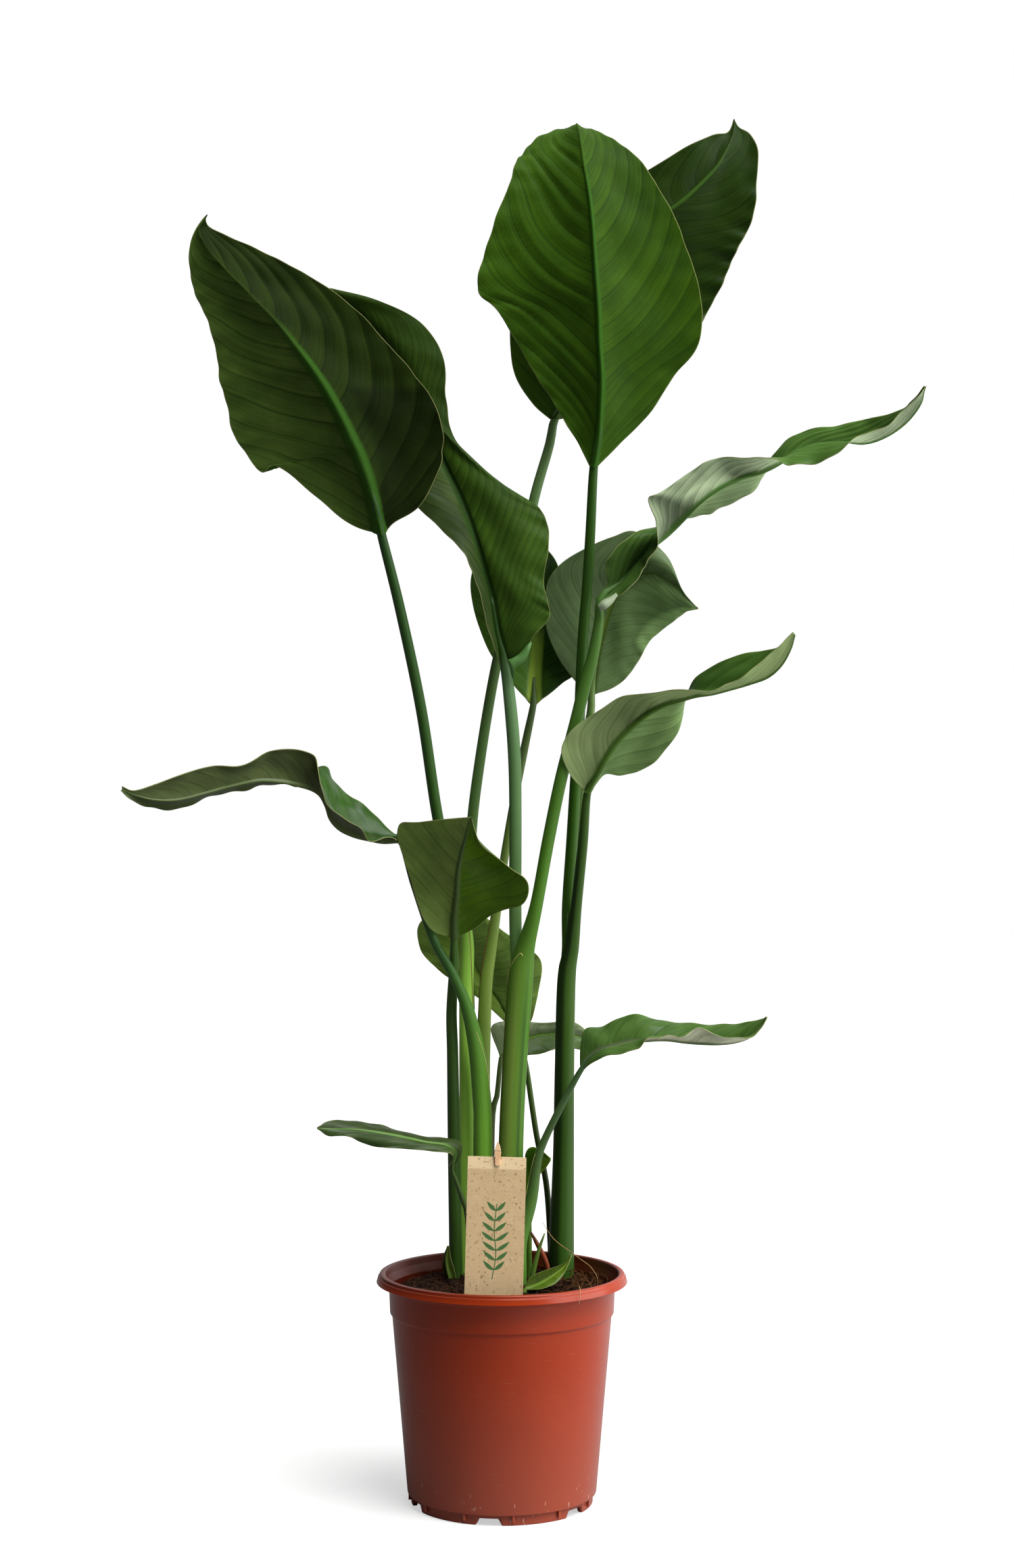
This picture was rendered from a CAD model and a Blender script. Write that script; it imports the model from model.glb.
"""Potted giant white bird of paradise: the finished look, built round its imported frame."""

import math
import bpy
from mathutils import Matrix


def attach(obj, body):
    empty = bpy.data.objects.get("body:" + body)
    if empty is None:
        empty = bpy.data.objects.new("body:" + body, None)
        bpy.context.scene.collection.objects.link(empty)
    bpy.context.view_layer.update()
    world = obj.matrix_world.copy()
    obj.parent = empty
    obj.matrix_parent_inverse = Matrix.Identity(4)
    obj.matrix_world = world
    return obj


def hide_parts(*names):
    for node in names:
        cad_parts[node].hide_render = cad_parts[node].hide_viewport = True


bl_info = {
    "name": "Potted Bird of Paradise",
    "version": (1, 0, 0),
    "blender": (4, 5, 0),
    "location": "View3D > Sidebar > Plant",
    "description": "Builds the leaves, stalks, soil, nursery pot and tag of a potted Strelitzia nicolai",
    "category": "Object",
}

import bpy
import numpy as np
from bpy.props import FloatProperty, FloatVectorProperty, IntProperty, PointerProperty
from bpy.types import Operator, Panel, PropertyGroup
from mathutils import Vector, noise

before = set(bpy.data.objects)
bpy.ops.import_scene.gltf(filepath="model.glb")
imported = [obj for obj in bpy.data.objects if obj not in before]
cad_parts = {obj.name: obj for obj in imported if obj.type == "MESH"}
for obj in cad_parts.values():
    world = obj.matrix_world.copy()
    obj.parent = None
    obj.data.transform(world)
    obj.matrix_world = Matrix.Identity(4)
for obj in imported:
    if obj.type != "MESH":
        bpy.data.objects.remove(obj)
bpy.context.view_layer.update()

MM = 0.001

# The photograph's frame and the lens that its perspective gives
PHOTO_HEIGHT_PX = 2320
FOCAL_PX = 3788
SENSOR_MM = 36
CAMERA_MM = (4.85, -2450, 685)

# Leaves, in millimetres: rib runs along the midrib from the blade's base to its tip, left and right
# are the margins as seen from the front, upper is 1 where the upper side faces the front at the base,
# and stalk is the stalk's centre line with its radius, from the soil up.
LEAVES = {
    "leaf_left_top": dict(
        upper=-1,
        rib=[[-115, -2, 923], [-120, -10, 948], [-127, -14, 973], [-136, -17, 998], [-142, -18, 1011],
             [-148, -19, 1024], [-162, -21, 1051], [-177, -22, 1075], [-194, -23, 1098], [-212, -22, 1121],
             [-230, -21, 1140], [-249, -18, 1160], [-268, -14, 1180], [-282, -10, 1198], [-289, -7, 1213],
             [-285, -5, 1223], [-282, -4, 1229]],
        left=[[-117, 0, 924], [-144, 0, 933], [-178, 3, 960], [-216, 5, 990], [-230, 6, 984],
              [-243, 6, 998], [-257, 6, 1020], [-264, 5, 1048], [-270, 4, 1072], [-274, 2, 1098],
              [-280, 0, 1125], [-290, -1, 1145], [-296, -2, 1164], [-299, -5, 1182], [-297, -5, 1203],
              [-288, -5, 1221], [-282, -4, 1229]],
        right=[[-112, 0, 925], [-103, 0, 935], [-78, 3, 952], [-59, 6, 990], [-57, 6, 1005], [-56, 6, 1021],
               [-66, 6, 1053], [-85, 6, 1079], [-109, 6, 1107], [-136, 5, 1136], [-171, 4, 1164],
               [-204, 3, 1182], [-235, 2, 1198], [-262, 0, 1209], [-279, 2, 1218], [-283, -3, 1224],
               [-281, -4, 1229]],
        stalk=[[-36, 58, 208, 7.4], [-35, 58, 341, 7], [-35, 56, 480, 7], [-35, 54, 536, 6.8],
             [-47, 46, 593, 5.9], [-62, 38, 650, 5.5], [-78, 22, 757, 5.3], [-98, 6, 854, 5],
             [-115, -2, 923, 4.4]],
    ),
    "leaf_left_inner": dict(
        upper=1,
        rib=[[2, 24, 800], [-1, 25, 816], [-6, 26, 839], [-10, 29, 865], [-17, 33, 893], [-25, 39, 922],
             [-33, 45, 946], [-43, 51, 972], [-56, 57, 999], [-68, 62, 1027], [-83, 66, 1056],
             [-100, 69, 1084], [-118, 71, 1112], [-136, 72, 1136], [-154, 71, 1154], [-165, 70, 1165],
             [-172, 70, 1171]],
        left=[[-1, 22, 800], [-8, 16, 817], [-15, 14, 840], [-21, 14, 865], [-29, 18, 891], [-40, 25, 912],
              [-58, 33, 931], [-82, 42, 954], [-104, 51, 979], [-121, 58, 1008], [-135, 64, 1040],
              [-145, 68, 1071], [-156, 70, 1099], [-166, 71, 1126], [-172, 71, 1150], [-173, 70, 1164],
              [-173, 70, 1171]],
        right=[[6, 23, 801], [18, 17, 807], [30, 14, 826], [45, 13, 844], [45, 14, 858], [40, 18, 880],
               [45, 23, 910], [44, 29, 936], [34, 36, 955], [9, 44, 971], [-18, 52, 993], [-47, 58, 1025],
               [-55, 60, 1063], [-57, 60, 1101], [-79, 62, 1137], [-121, 60, 1159], [-169, 70, 1173]],
        stalk=[[7, 32, 213, 6], [10, 32, 344, 6], [13, 32, 425, 6], [15, 32, 495, 6], [13, 32, 553, 6],
             [13, 30, 659, 6], [12, 28, 711, 6.2], [8.5, 26, 757, 6], [3, 24, 800, 5]],
    ),
    "leaf_centre_top": dict(
        upper=-1,
        rib=[[88, 8, 988], [92, 4, 1012], [94, 0, 1041], [95, -3, 1073], [93, -5, 1105], [92, -6, 1135],
             [90, -7, 1165], [88, -6, 1195], [86, -4, 1224], [83, 2, 1253], [79, 12, 1280], [76, 27, 1308],
             [74, 48, 1327], [73, 70, 1334], [72, 90, 1329]],
        left=[[84, 8, 990], [71, 16, 1017], [55, 22, 1044], [36, 26, 1075], [15, 28, 1110], [-4, 28, 1143],
              [-23, 26, 1161], [-19, 26, 1192], [-8, 26, 1226], [6, 30, 1264], [13, 38, 1287],
              [21, 48, 1302], [36, 62, 1319], [54, 76, 1331], [70, 89, 1330]],
        right=[[92, 8, 990], [115, 16, 1014], [142, 24, 1042], [166, 28, 1079], [188, 28, 1106],
               [194, 26, 1139], [188, 24, 1174], [177, 24, 1207], [164, 24, 1239], [148, 26, 1267],
               [131, 32, 1293], [112, 43, 1310], [96, 60, 1324], [86, 76, 1331], [74, 89, 1330]],
        stalk=[[57, 52, 209, 5.6], [58, 53, 341, 5.6], [60, 53, 406, 5.5], [62, 51, 495, 5.5],
             [64, 50, 527, 5.6], [64, 48, 566, 5.6], [68, 44, 628, 5.6], [71, 42, 679, 5.5],
             [75, 38, 746, 5.4], [78, 30, 821, 5.2], [82, 22, 874, 5], [85, 14, 926, 4.8], [88, 8, 988, 4.2]],
    ),
    "leaf_right_back": dict(
        upper=-1,
        rib=[[51, 48, 1040], [62, 50, 1062], [72, 52, 1084], [86, 56, 1116], [100, 60, 1150],
             [114, 64, 1183], [134, 67, 1215], [155, 70, 1242], [178, 72, 1260], [197, 75, 1278],
             [212, 79, 1295], [222, 85, 1313], [228, 91, 1327], [230, 94, 1336], [231, 96, 1346]],
        left=[[48, 48, 1040], [30, 54, 1057], [13, 60, 1085], [8, 66, 1118], [10, 70, 1156], [24, 74, 1195],
              [48, 77, 1232], [80, 80, 1261], [113, 81, 1277], [147, 83, 1294], [182, 86, 1316],
              [208, 91, 1329], [223, 94, 1332], [228, 95, 1339], [230, 96, 1346]],
        right=[[54, 48, 1040], [83, 60, 1051], [125, 70, 1076], [162, 80, 1106], [193, 86, 1136],
               [211, 88, 1166], [225, 88, 1196], [234, 86, 1217], [245, 85, 1236], [251, 86, 1261],
               [253, 88, 1287], [254, 92, 1312], [247, 95, 1331], [236, 96, 1338], [231, 96, 1345]],
        stalk=[[-32, 76, 205, 6], [-31, 76, 338, 6], [-33, 74, 478, 5.8], [-35, 72, 535, 5.6],
             [-31, 66, 625, 5.3], [-24, 62, 692, 5.2], [-6, 58, 800, 5], [17, 54, 890, 5],
             [31, 52, 962, 4.9], [46, 50, 1015, 4.6], [51, 48, 1040, 4]],
    ),
    "leaf_centre_back": dict(
        upper=1,
        rib=[[31, 74, 764], [32, 80, 792], [36, 84, 830], [38, 80, 865], [35, 74, 898], [25, 68, 930]],
        left=[[28, 74, 764], [8, 70, 786], [-14, 72, 818], [-28, 76, 858], [-30, 74, 892], [-14, 70, 924],
             [21, 68, 930]],
        right=[[34, 74, 764], [59, 74, 784], [74, 76, 798], [68, 80, 832], [64, 80, 865], [53, 74, 905],
             [29, 68, 930]],
        stalk=[[-16, 70, 206, 6], [-18, 70, 339, 6.3], [-18, 70, 421, 6.5], [-16, 72, 485, 6.4],
             [-11, 74, 522, 5.6], [-2, 76, 585, 4.4], [10, 78, 658, 4], [22, 78, 720, 4],
             [31, 74, 764, 3.2]],
    ),
    "leaf_right_long": dict(
        upper=1,
        rib=[[95, 2, 863], [104, 6, 870], [115, 10, 880], [126, 13, 894], [139, 11, 908], [151, 7, 919],
             [162, 0, 929], [174, -10, 939], [188, -22, 952], [207, -30, 965], [227, -35, 974],
             [245, -39, 979], [261, -41, 987], [278, -43, 999], [298, -47, 1005], [317, -53, 1006],
             [338, -59, 1003], [357, -66, 1008], [375, -76, 1020], [387, -87, 1036], [390, -92, 1050]],
        left=[[94, 3, 864], [101, 5, 877], [99, 0, 890], [102, -5, 901], [115, -5, 917], [132, 8, 928],
              [152, 24, 934], [170, 16, 939], [191, 2, 943], [209, -13, 947], [229, -21, 957],
              [244, -19, 970], [252, -20, 984], [263, -26, 1006], [284, -34, 1017], [309, -42, 1021],
              [332, -52, 1025], [353, -59, 1028], [372, -69, 1034], [382, -84, 1042], [389, -92, 1052]],
        right=[[97, 0, 862], [111, -3, 865], [123, -9, 874], [134, -13, 886], [137, -17, 896],
               [147, -20, 912], [147, -22, 932], [139, -20, 956], [154, -19, 964], [181, -21, 983],
               [207, -28, 994], [234, -54, 989], [252, -62, 990], [268, -64, 982], [291, -66, 983],
               [311, -74, 993], [332, -78, 1007], [354, -81, 1016], [372, -85, 1031], [383, -91, 1042],
               [391, -92, 1052]],
        stalk=[[6, 30, 214, 12.6], [9, 30, 345, 12], [13, 29, 425, 12], [18, 27, 497, 12.2],
             [23, 23, 528, 9], [33, 14, 568, 6.2], [45, 12, 633, 6], [57, 10, 691, 6], [71, 9, 745, 6],
             [80, 7, 782, 6], [87, 5, 807, 5.6], [93, 3, 840, 4.8], [95, 2, 864, 3.8]],
    ),
    "leaf_right_broad": dict(
        upper=1,
        rib=[[88, 64, 773], [91, 67, 793], [95, 70, 815], [101, 72, 838], [108, 71, 860], [117, 69, 877],
             [128, 65, 888], [139, 58, 892], [151, 50, 890], [163, 42, 882], [173, 34, 873], [181, 28, 863],
             [189, 24, 855]],
        left=[[85, 64, 774], [69, 63, 789], [53, 61, 813], [43, 60, 839], [42, 60, 865], [46, 60, 886],
              [59, 60, 902], [82, 60, 916], [108, 59, 927], [131, 56, 932], [160, 46, 908], [174, 32, 874],
              [188, 24, 856]],
        right=[[91, 64, 773], [108, 62, 779], [121, 60, 788], [130, 58, 800], [138, 56, 813],
               [144, 54, 824], [152, 50, 832], [160, 46, 838], [167, 40, 843], [173, 35, 848],
               [179, 30, 852], [184, 26, 853], [190, 24, 854]],
        stalk=[[60, 71, 205, 5.2], [63, 73, 339, 5.4], [65, 71, 459, 5.2], [70, 68, 565, 5],
             [77, 66, 658, 4.8], [82, 65, 725, 4.4], [87, 64, 755, 4], [88, 64, 774, 3.4]],
    ),
    "leaf_right_middle": dict(
        upper=-1,
        rib=[[82, 4, 676], [91, -2, 694], [99, -8, 709], [110, -14, 726], [124, -20, 740], [139, -26, 752],
             [154, -32, 760], [168, -37, 764], [182, -42, 768], [198, -46, 770], [215, -50, 774],
             [233, -54, 779], [249, -58, 785], [261, -64, 796], [269, -70, 811], [272, -76, 823]],
        left=[[80, 4, 677], [65, 2, 694], [57, 0, 717], [67, -6, 737], [94, -14, 756], [114, -26, 768],
              [136, -44, 769], [157, -56, 773], [175, -63, 773], [192, -67, 770], [210, -69, 778],
              [228, -71, 788], [244, -72, 801], [256, -74, 812], [265, -76, 821], [270, -77, 826]],
        right=[[85, 4, 677], [98, 4, 694], [114, 4, 693], [130, 2, 697], [146, -3, 706], [158, -8, 720],
               [167, -10, 733], [172, -8, 749], [176, -8, 768], [185, -18, 787], [204, -32, 799],
               [226, -40, 807], [244, -48, 810], [256, -58, 812], [265, -68, 817], [271, -75, 825]],
        stalk=[[58, 52, 209, 12.6], [58, 52, 234, 12.4], [60, 53, 320, 10.4], [61, 53, 406, 9.6],
             [63, 50, 495, 9], [68, 44, 527, 7.2], [72, 34, 566, 5.4], [78, 16, 629, 4.8],
             [82, 4, 677, 3.6]],
    ),
    "leaf_front_small": dict(
        upper=-1,
        rib=[[-46, 14, 537], [-46, 8, 550], [-45, 0, 565], [-43, -10, 582], [-42, -20, 597],
             [-40, -30, 611], [-37, -40, 624], [-34, -50, 634], [-32, -60, 643], [-30, -67, 650],
             [-28, -72, 654]],
        left=[[-49, 14, 537], [-66, 3, 544], [-75, 0, 556], [-81, -4, 572], [-87, -6, 592], [-93, -14, 614],
              [-99, -22, 634], [-96, -34, 647], [-79, -46, 649], [-53, -60, 652], [-30, -72, 654]],
        right=[[-43, 14, 537], [-24, 10, 548], [-9, 4, 560], [9, -4, 566], [22, -12, 573], [25, -20, 590],
               [11, -32, 603], [-6, -44, 617], [-20, -56, 630], [-25, -65, 640], [-28, -72, 653]],
        stalk=[[-45, 44, 211, 6.4], [-47, 42, 343, 6], [-48, 38, 422, 5.6], [-49, 34, 462, 5.2],
             [-47, 26, 502, 4.6], [-46, 14, 537, 3.4]],
    ),
    "leaf_left_long": dict(
        upper=1,
        rib=[[-100, 6, 632], [-114, 4, 631], [-128, 0, 633], [-142, -3, 637], [-154, -6, 643],
             [-162, -9, 652], [-166, -12, 664], [-172, -15, 675], [-181, -18, 681], [-193, -21, 684],
             [-209, -25, 687], [-230, -31, 688], [-255, -38, 683], [-279, -46, 676], [-303, -54, 670],
             [-324, -61, 670], [-343, -67, 675], [-353, -70, 680]],
        left=[[-101, 3, 632], [-109, -7, 634], [-124, -15, 630], [-132, -28, 642], [-142, -33, 648],
              [-153, -38, 654], [-163, -41, 666], [-169, -43, 681], [-173, -40, 699], [-178, -32, 712],
              [-196, -27, 718], [-219, -31, 716], [-243, -39, 703], [-271, -46, 702], [-297, -53, 695],
              [-323, -61, 685], [-342, -68, 679], [-353, -70, 683]],
        right=[[-100, 9, 634], [-110, 12, 643], [-121, 16, 654], [-133, 18, 664], [-146, 20, 673],
               [-157, 20, 683], [-164, 19, 692], [-171, 17, 701], [-180, 13, 699], [-190, 5, 686],
               [-205, -2, 684], [-229, -8, 683], [-255, -18, 678], [-283, -28, 670], [-311, -40, 661],
               [-331, -53, 663], [-346, -67, 671], [-354, -71, 679]],
        stalk=[[-17, 40, 212, 9.4], [-18, 40, 343, 9.2], [-20, 38, 383, 9], [-25, 30, 430, 7.8],
             [-34, 21, 470, 6], [-48, 14, 503, 4.6], [-66, 12, 536, 4.2], [-84, 10, 588, 3.9],
             [-99, 6, 633, 3]],
    ),
    "leaf_back_middle": dict(
        upper=1,
        rib=[[10, 110, 443], [-5, 112, 471], [-21, 112, 491], [-32, 108, 517], [-35, 98, 544],
             [-33, 88, 561]],
        left=[[7, 110, 443], [-27, 104, 474], [-60, 98, 497], [-81, 92, 521], [-79, 86, 551],
              [-35, 88, 562]],
        right=[[13, 110, 444], [28, 106, 447], [36, 104, 477], [37, 100, 512], [1, 94, 539], [-30, 88, 562]],
        stalk=[[48, 80, 203, 3.2], [48, 81, 229, 3.2], [44, 88, 287, 3], [34, 100, 337, 2.9],
             [24, 111, 402, 2.8], [17, 112, 428, 2.6], [10, 110, 443, 2.2]],
    ),
    "leaf_back_low": dict(
        upper=1,
        rib=[[-1, 92, 414], [12, 97, 426], [32, 102, 434], [52, 105, 436], [76, 108, 433], [96, 110, 424]],
        left=[[-3, 92, 416], [-11, 96, 443], [8, 100, 449], [39, 103, 447], [72, 106, 447], [95, 110, 427]],
        right=[[1, 92, 412], [22, 87, 416], [42, 90, 418], [62, 95, 423], [82, 103, 420], [96, 110, 421]],
        stalk=[[-11, 88, 202, 3], [-10, 90, 346, 3], [-5, 91, 376, 2.7], [-1, 92, 414, 2.2]],
    ),
    "leaf_right_low": dict(
        upper=1,
        rib=[[77, 4, 413], [84, 2, 422], [95, -1, 431], [108, -4, 435], [122, -7, 439], [137, -11, 441],
             [156, -15, 442], [174, -19, 440], [190, -23, 439], [206, -28, 439], [221, -32, 441],
             [233, -38, 446], [243, -42, 456], [249, -46, 465]],
        left=[[75, 6, 415], [76, 12, 434], [81, 17, 449], [97, 17, 452], [112, 15, 459], [130, 11, 463],
              [151, 6, 459], [173, 1, 456], [194, -6, 455], [213, -13, 457], [228, -21, 458],
              [239, -30, 461], [246, -38, 464], [248, -45, 467]],
        right=[[79, 2, 412], [89, -8, 421], [101, -15, 427], [116, -20, 429], [129, -25, 434],
               [138, -29, 445], [154, -33, 446], [171, -37, 447], [186, -40, 457], [201, -43, 448],
               [219, -46, 446], [233, -47, 448], [243, -47, 455], [250, -47, 467]],
        stalk=[[17, 12, 217, 6.8], [18, 12, 247, 6.6], [28, 12, 285, 6], [34, 11, 323, 4.4],
             [41, 11, 343, 3.6], [59, 8, 380, 3.3], [77, 4, 413, 2.6]],
    ),
    "leaf_left_low": dict(
        upper=1,
        rib=[[-49, 10, 317], [-45, 4, 332], [-53, -4, 340], [-72, -12, 344], [-101, -24, 352],
             [-135, -38, 359], [-157, -46, 361], [-173, -52, 363]],
        left=[[-51, 8, 318], [-47, -6, 329], [-56, -14, 335], [-81, -22, 338], [-120, -34, 343],
             [-146, -46, 354], [-162, -50, 355], [-173, -52, 362]],
        right=[[-47, 12, 316], [-38, 14, 332], [-44, 10, 343], [-66, 2, 346], [-105, -12, 357],
             [-142, -30, 367], [-163, -44, 368], [-172, -52, 364]],
        stalk=[[-30, 20, 216, 3.4], [-33, 18, 268, 2.9], [-37, 17, 282, 2.6], [-43, 14, 300, 2.2],
             [-49, 10, 317, 2]],
    ),
    "leaf_behind_tag": dict(
        upper=1,
        rib=[[25, 39, 286], [28, 39, 303], [31, 34, 316], [38, 26, 324], [47, 18, 324]],
        left=[[23, 40, 286], [23, 42, 306], [23, 40, 326], [29, 32, 333], [38, 24, 331], [46, 18, 325]],
        right=[[27, 38, 286], [32, 36, 298], [38, 32, 308], [43, 26, 314], [47, 18, 322]],
        stalk=[[26, 44, 211, 3.2], [26, 42, 258, 2.8], [25, 39, 286, 2]],
    ),
    "sprout_leaf": dict(
        upper=1,
        rib=[[23, -14, 204], [37, -12, 209], [51, -8, 217], [62, -4, 226], [66, -2, 235]],
        left=[[22, -12, 206], [28, -5, 214], [44, -2, 221], [60, -2, 227], [65, -2, 236]],
        right=[[25, -17, 204], [37, -21, 206], [50, -18, 210], [60, -10, 219], [67, -3, 235]],
        stalk=[[20, -15, 198, 3], [23, -14, 204, 2.2]],
    ),
    "basal_bract": dict(
        upper=-1,
        rib=[[-50, 31, 206], [-53, 30, 216], [-54, 29, 226], [-52, 28, 238]],
        left=[[-56, 38, 205], [-58, 36, 215], [-57, 33, 226], [-53, 28, 238]],
        right=[[-44, 32, 205], [-46, 31, 214], [-49, 30, 225], [-51, 28, 238]],
        stalk=[[-50, 32, 198, 2.6], [-50, 31, 206, 2]],
    ),
}

# How each blade looks; where a key has two values, they are for its left and its right half. pleats is the
# number of broad folds between the side veins, depth their height in mm, sweep how far the veins run
# towards the tip, ripple the margin's waves in mm, and upper_hex and under_hex the two faces. foot, mid and
# top are the stalk's colours, bands where along it they lie, and sides its tinted strips: colour, begin
# and end round it, and top. shine is the skin's gloss, rough its roughness, and matt how much rougher it is
# below. mottle, veins, folds and crease say how strongly each pattern shows. shades are lighter or darker
# patches: begin and end along the blade, begin and end across it, strength. rib_size, rib_rise and rib_end
# are the midrib's width, its height and where it sinks into the blade.
LOOKS = {
    "leaf_left_top": dict(
        pleats=(13, 11), depth=(-1.8, -2.4), sweep=(0.2, 0.36), upper_hex=("#2f4d18", "#1e330d"),
        under_hex=("#425826", "#1e2c0a"), rib_hex="#2b4c16", ripple=(1.6, 0.8), foot="#aae359",
        mid="#3a6020", top="#24441a", shine=0.04, matt=0.3, rib_end=0.66, bands=(0.38, 0.52, 0.95),
        rib_size=2.3, rib_rise=0.45, folds=0.8,
        shades=((-0.1, 0.42, 0.25, 1.2, 0.55), (-0.1, 0.5, -1.2, 0.0, 0.9)), veins=0.3),
    "leaf_left_inner": dict(
        pleats=(16, 26), depth=(1.0, 0.5), sweep=(0.16, 0.42), upper_hex=("#31421e", "#355018"),
        under_hex=("#3f512b", "#4f6637"), rib_hex="#2a4418", ripple=(0.8, 1.4), foot="#5b8222",
        mid="#64885a", top="#22400f", rib_size=1.5, crease=0.55, bands=(0.1, 0.87, 0.92), rough=0.5,
        shine=0.1, folds=0.5,
        shades=((0.05, 0.66, -0.3, 0.28, 1.35), (0.05, 0.45, 0.75, 1.2, 1.15),
                (0.62, 1.1, -1.2, 1.2, 0.72))),
    "leaf_centre_top": dict(
        pleats=(15, 15), depth=(-3.4, -0.9), sweep=(0.26, 0.26), upper_hex=("#37591d", "#315019"),
        under_hex=("#395b11", "#31500a"), rib_hex="#2b5210", ripple=(1.4, 0.6), foot="#2a4010",
        mid="#386014", top="#2c5010", rib_end=0.82, shine=0.08, matt=0.28, folds=0.55),
    "leaf_right_back": dict(
        pleats=(13, 13), depth=(-1.4, -1.4), sweep=(0.2, 0.2), upper_hex=("#2f4d18", "#2f4d18"),
        under_hex=("#243a0e", "#243a0e"), rib_hex="#38581a", ripple=(0.6, 1.8), foot="#57802a",
        mid="#56783d", top="#688752", shine=0.1, rib_end=0.95, shades=((-0.1, 0.45, -1.2, 0.0, 3.2),)),
    "leaf_centre_back": dict(
        pleats=(10, 10), depth=(1.4, 1.4), sweep=(0.2, 0.2), upper_hex=("#557f2f", "#2c4a16"),
        under_hex=("#627d3f", "#34491d"), rib_hex="#86a23c", ripple=(0.8, 1.2), foot="#7a9a45",
        mid="#86a048", top="#4e623a", sides=(("#7a5a34", 0.42, 0.6, 0.6),), rib_size=2.4, rib_end=0.5,
        rib_rise=0.5),
    "leaf_right_long": dict(
        pleats=(18, 18), depth=(2.4, 1.3), sweep=(0.22, 0.22), upper_hex=("#46662e", "#46662e"),
        under_hex=("#a2be91", "#c5dbba"), rib_hex="#5a8040", ripple=(1.6, 1.6), foot="#6c8c2c",
        mid="#4c7a22", top="#4b7030",
        sides=(("#4c3a18", 0.4, 0.6, 0.5), ("#6a8834", 0.6, 0.78, 0.5), ("#35581a", 0.79, 0.9, 0.5),
               ("#487624", 0.86, 1.0, 0.5)), mottle=0.45,
        shades=((0.14, 0.335, -0.15, 1.2, 0.42), (0.335, 0.42, 0.5, 1.2, 0.75),
                (0.42, 0.56, -1.2, 1.2, 0.95), (0.56, 0.82, -1.2, 1.2, 1.3), (0.8, 1.1, -1.2, 1.2, 0.75)),
        folds=0.6, shine=0.06, matt=0.26),
    "leaf_right_broad": dict(
        pleats=(13, 13), depth=(0.5, 0.5), sweep=(0.35, 0.35), upper_hex=("#5c724e", "#779463"),
        under_hex=("#5c6a49", "#778c5d"), rib_hex="#667c34", ripple=(0.5, 0.6), foot="#4d6a30",
        mid="#4b632c", top="#6d8a4c", mottle=0.45, folds=0.15, shine=0.12,
        shades=((0.42, 0.96, 0.8, 1.2, 2.0),)),
    "leaf_right_middle": dict(
        pleats=(11, 9), depth=(-2.6, -1.0), sweep=(0.3, 0.3), upper_hex=("#3f5f27", "#3f5f27"),
        under_hex=("#97ad79", "#7d9e64"), rib_hex="#4a6a28", ripple=(1.0, 0.7), foot="#335616",
        mid="#3a5a18", top="#3b5a1e", sides=(("#1b2e0e", 0.32, 0.74, 0.9),), mottle=0.4, folds=0.45,
        shine=0.12, matt=0.16, shades=((0.74, 1.1, -1.2, 1.2, 1.15),)),
    "leaf_front_small": dict(
        pleats=(7, 7), depth=(-0.8, -0.8), sweep=(0.4, 0.4), upper_hex=("#406428", "#345320"),
        under_hex=("#6f8841", "#496c06"), rib_hex="#43582a", ripple=(0.8, 1.2), foot="#34541a",
        mid="#2f4c18", top="#456828", folds=0.2),
    "leaf_left_long": dict(
        pleats=(14, 14), depth=(0.7, 0.7), sweep=(0.15, 0.15), upper_hex=("#2c4c16", "#2d4e18"),
        under_hex=("#44502e", "#455330"), rib_hex="#4f5f33", ripple=(1.4, 1.4), foot="#74ad38",
        mid="#355f28", top="#2c4c1c", bands=(0.36, 0.68, 0.95)),
    "leaf_back_middle": dict(
        pleats=(8, 8), depth=(1.2, 1.2), sweep=(0.15, 0.15), upper_hex=("#6d8c39", "#7b9a4d"),
        under_hex=("#607839", "#6c854d"), rib_hex="#72923c", ripple=(1.0, 1.4), foot="#2b3817",
        mid="#2f3d1a", top="#678a3c"),
    "leaf_back_low": dict(
        pleats=(7, 7), depth=(1.0, 1.0), sweep=(0.15, 0.15), upper_hex=("#718164", "#466030"),
        under_hex=("#788c64", "#4b6730"), rib_hex="#6a8c3c", ripple=(1.0, 1.2), foot="#4c6030",
        mid="#48582f", top="#56683a"),
    "leaf_right_low": dict(
        pleats=(10, 10), depth=(1.4, 1.4), sweep=(0.15, 0.15), upper_hex=("#4d6e34", "#4d6e34"),
        under_hex=("#918f85", "#e1e6d1"), rib_hex="#667850", ripple=(1.2, 1.2), foot="#5f9a30",
        mid="#466030", top="#42603a"),
    "leaf_left_low": dict(
        pleats=(9, 9), depth=(1.0, 1.0), sweep=(0.15, 0.15), upper_hex=("#32461f", "#324122"),
        under_hex=("#66794e", "#66794e"), rib_hex="#587a3a", ripple=(1.0, 1.0), foot="#42562a",
        mid="#3c5024", top="#435928"),
    "leaf_behind_tag": dict(
        pleats=(5, 5), depth=(0.3, 0.3), sweep=(0.15, 0.15), upper_hex=("#537f1e", "#86a83a"),
        under_hex=("#446f18", "#94b446"), rib_hex="#7a9a40", ripple=(0.6, 0.6), foot="#4d6e25",
        mid="#4d6e25", top="#586e27"),
    "sprout_leaf": dict(
        pleats=(4, 4), depth=(0.2, 0.2), sweep=(0.15, 0.15), upper_hex=("#3b4c0e", "#506a18"),
        under_hex=("#475921", "#5f7a30"), rib_hex="#6a8830", ripple=(0.4, 0.4), foot="#6a7c34",
        mid="#5c7429", top="#5c7429"),
    "basal_bract": dict(
        pleats=(2, 2), depth=(0.1, 0.1), sweep=(0.15, 0.15), upper_hex=("#45581f", "#45581f"),
        under_hex=("#45581f", "#45581f"), rib_hex="#55692a", ripple=(0.3, 0.3), foot="#45581f",
        mid="#45581f", top="#45581f"),
}
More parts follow.
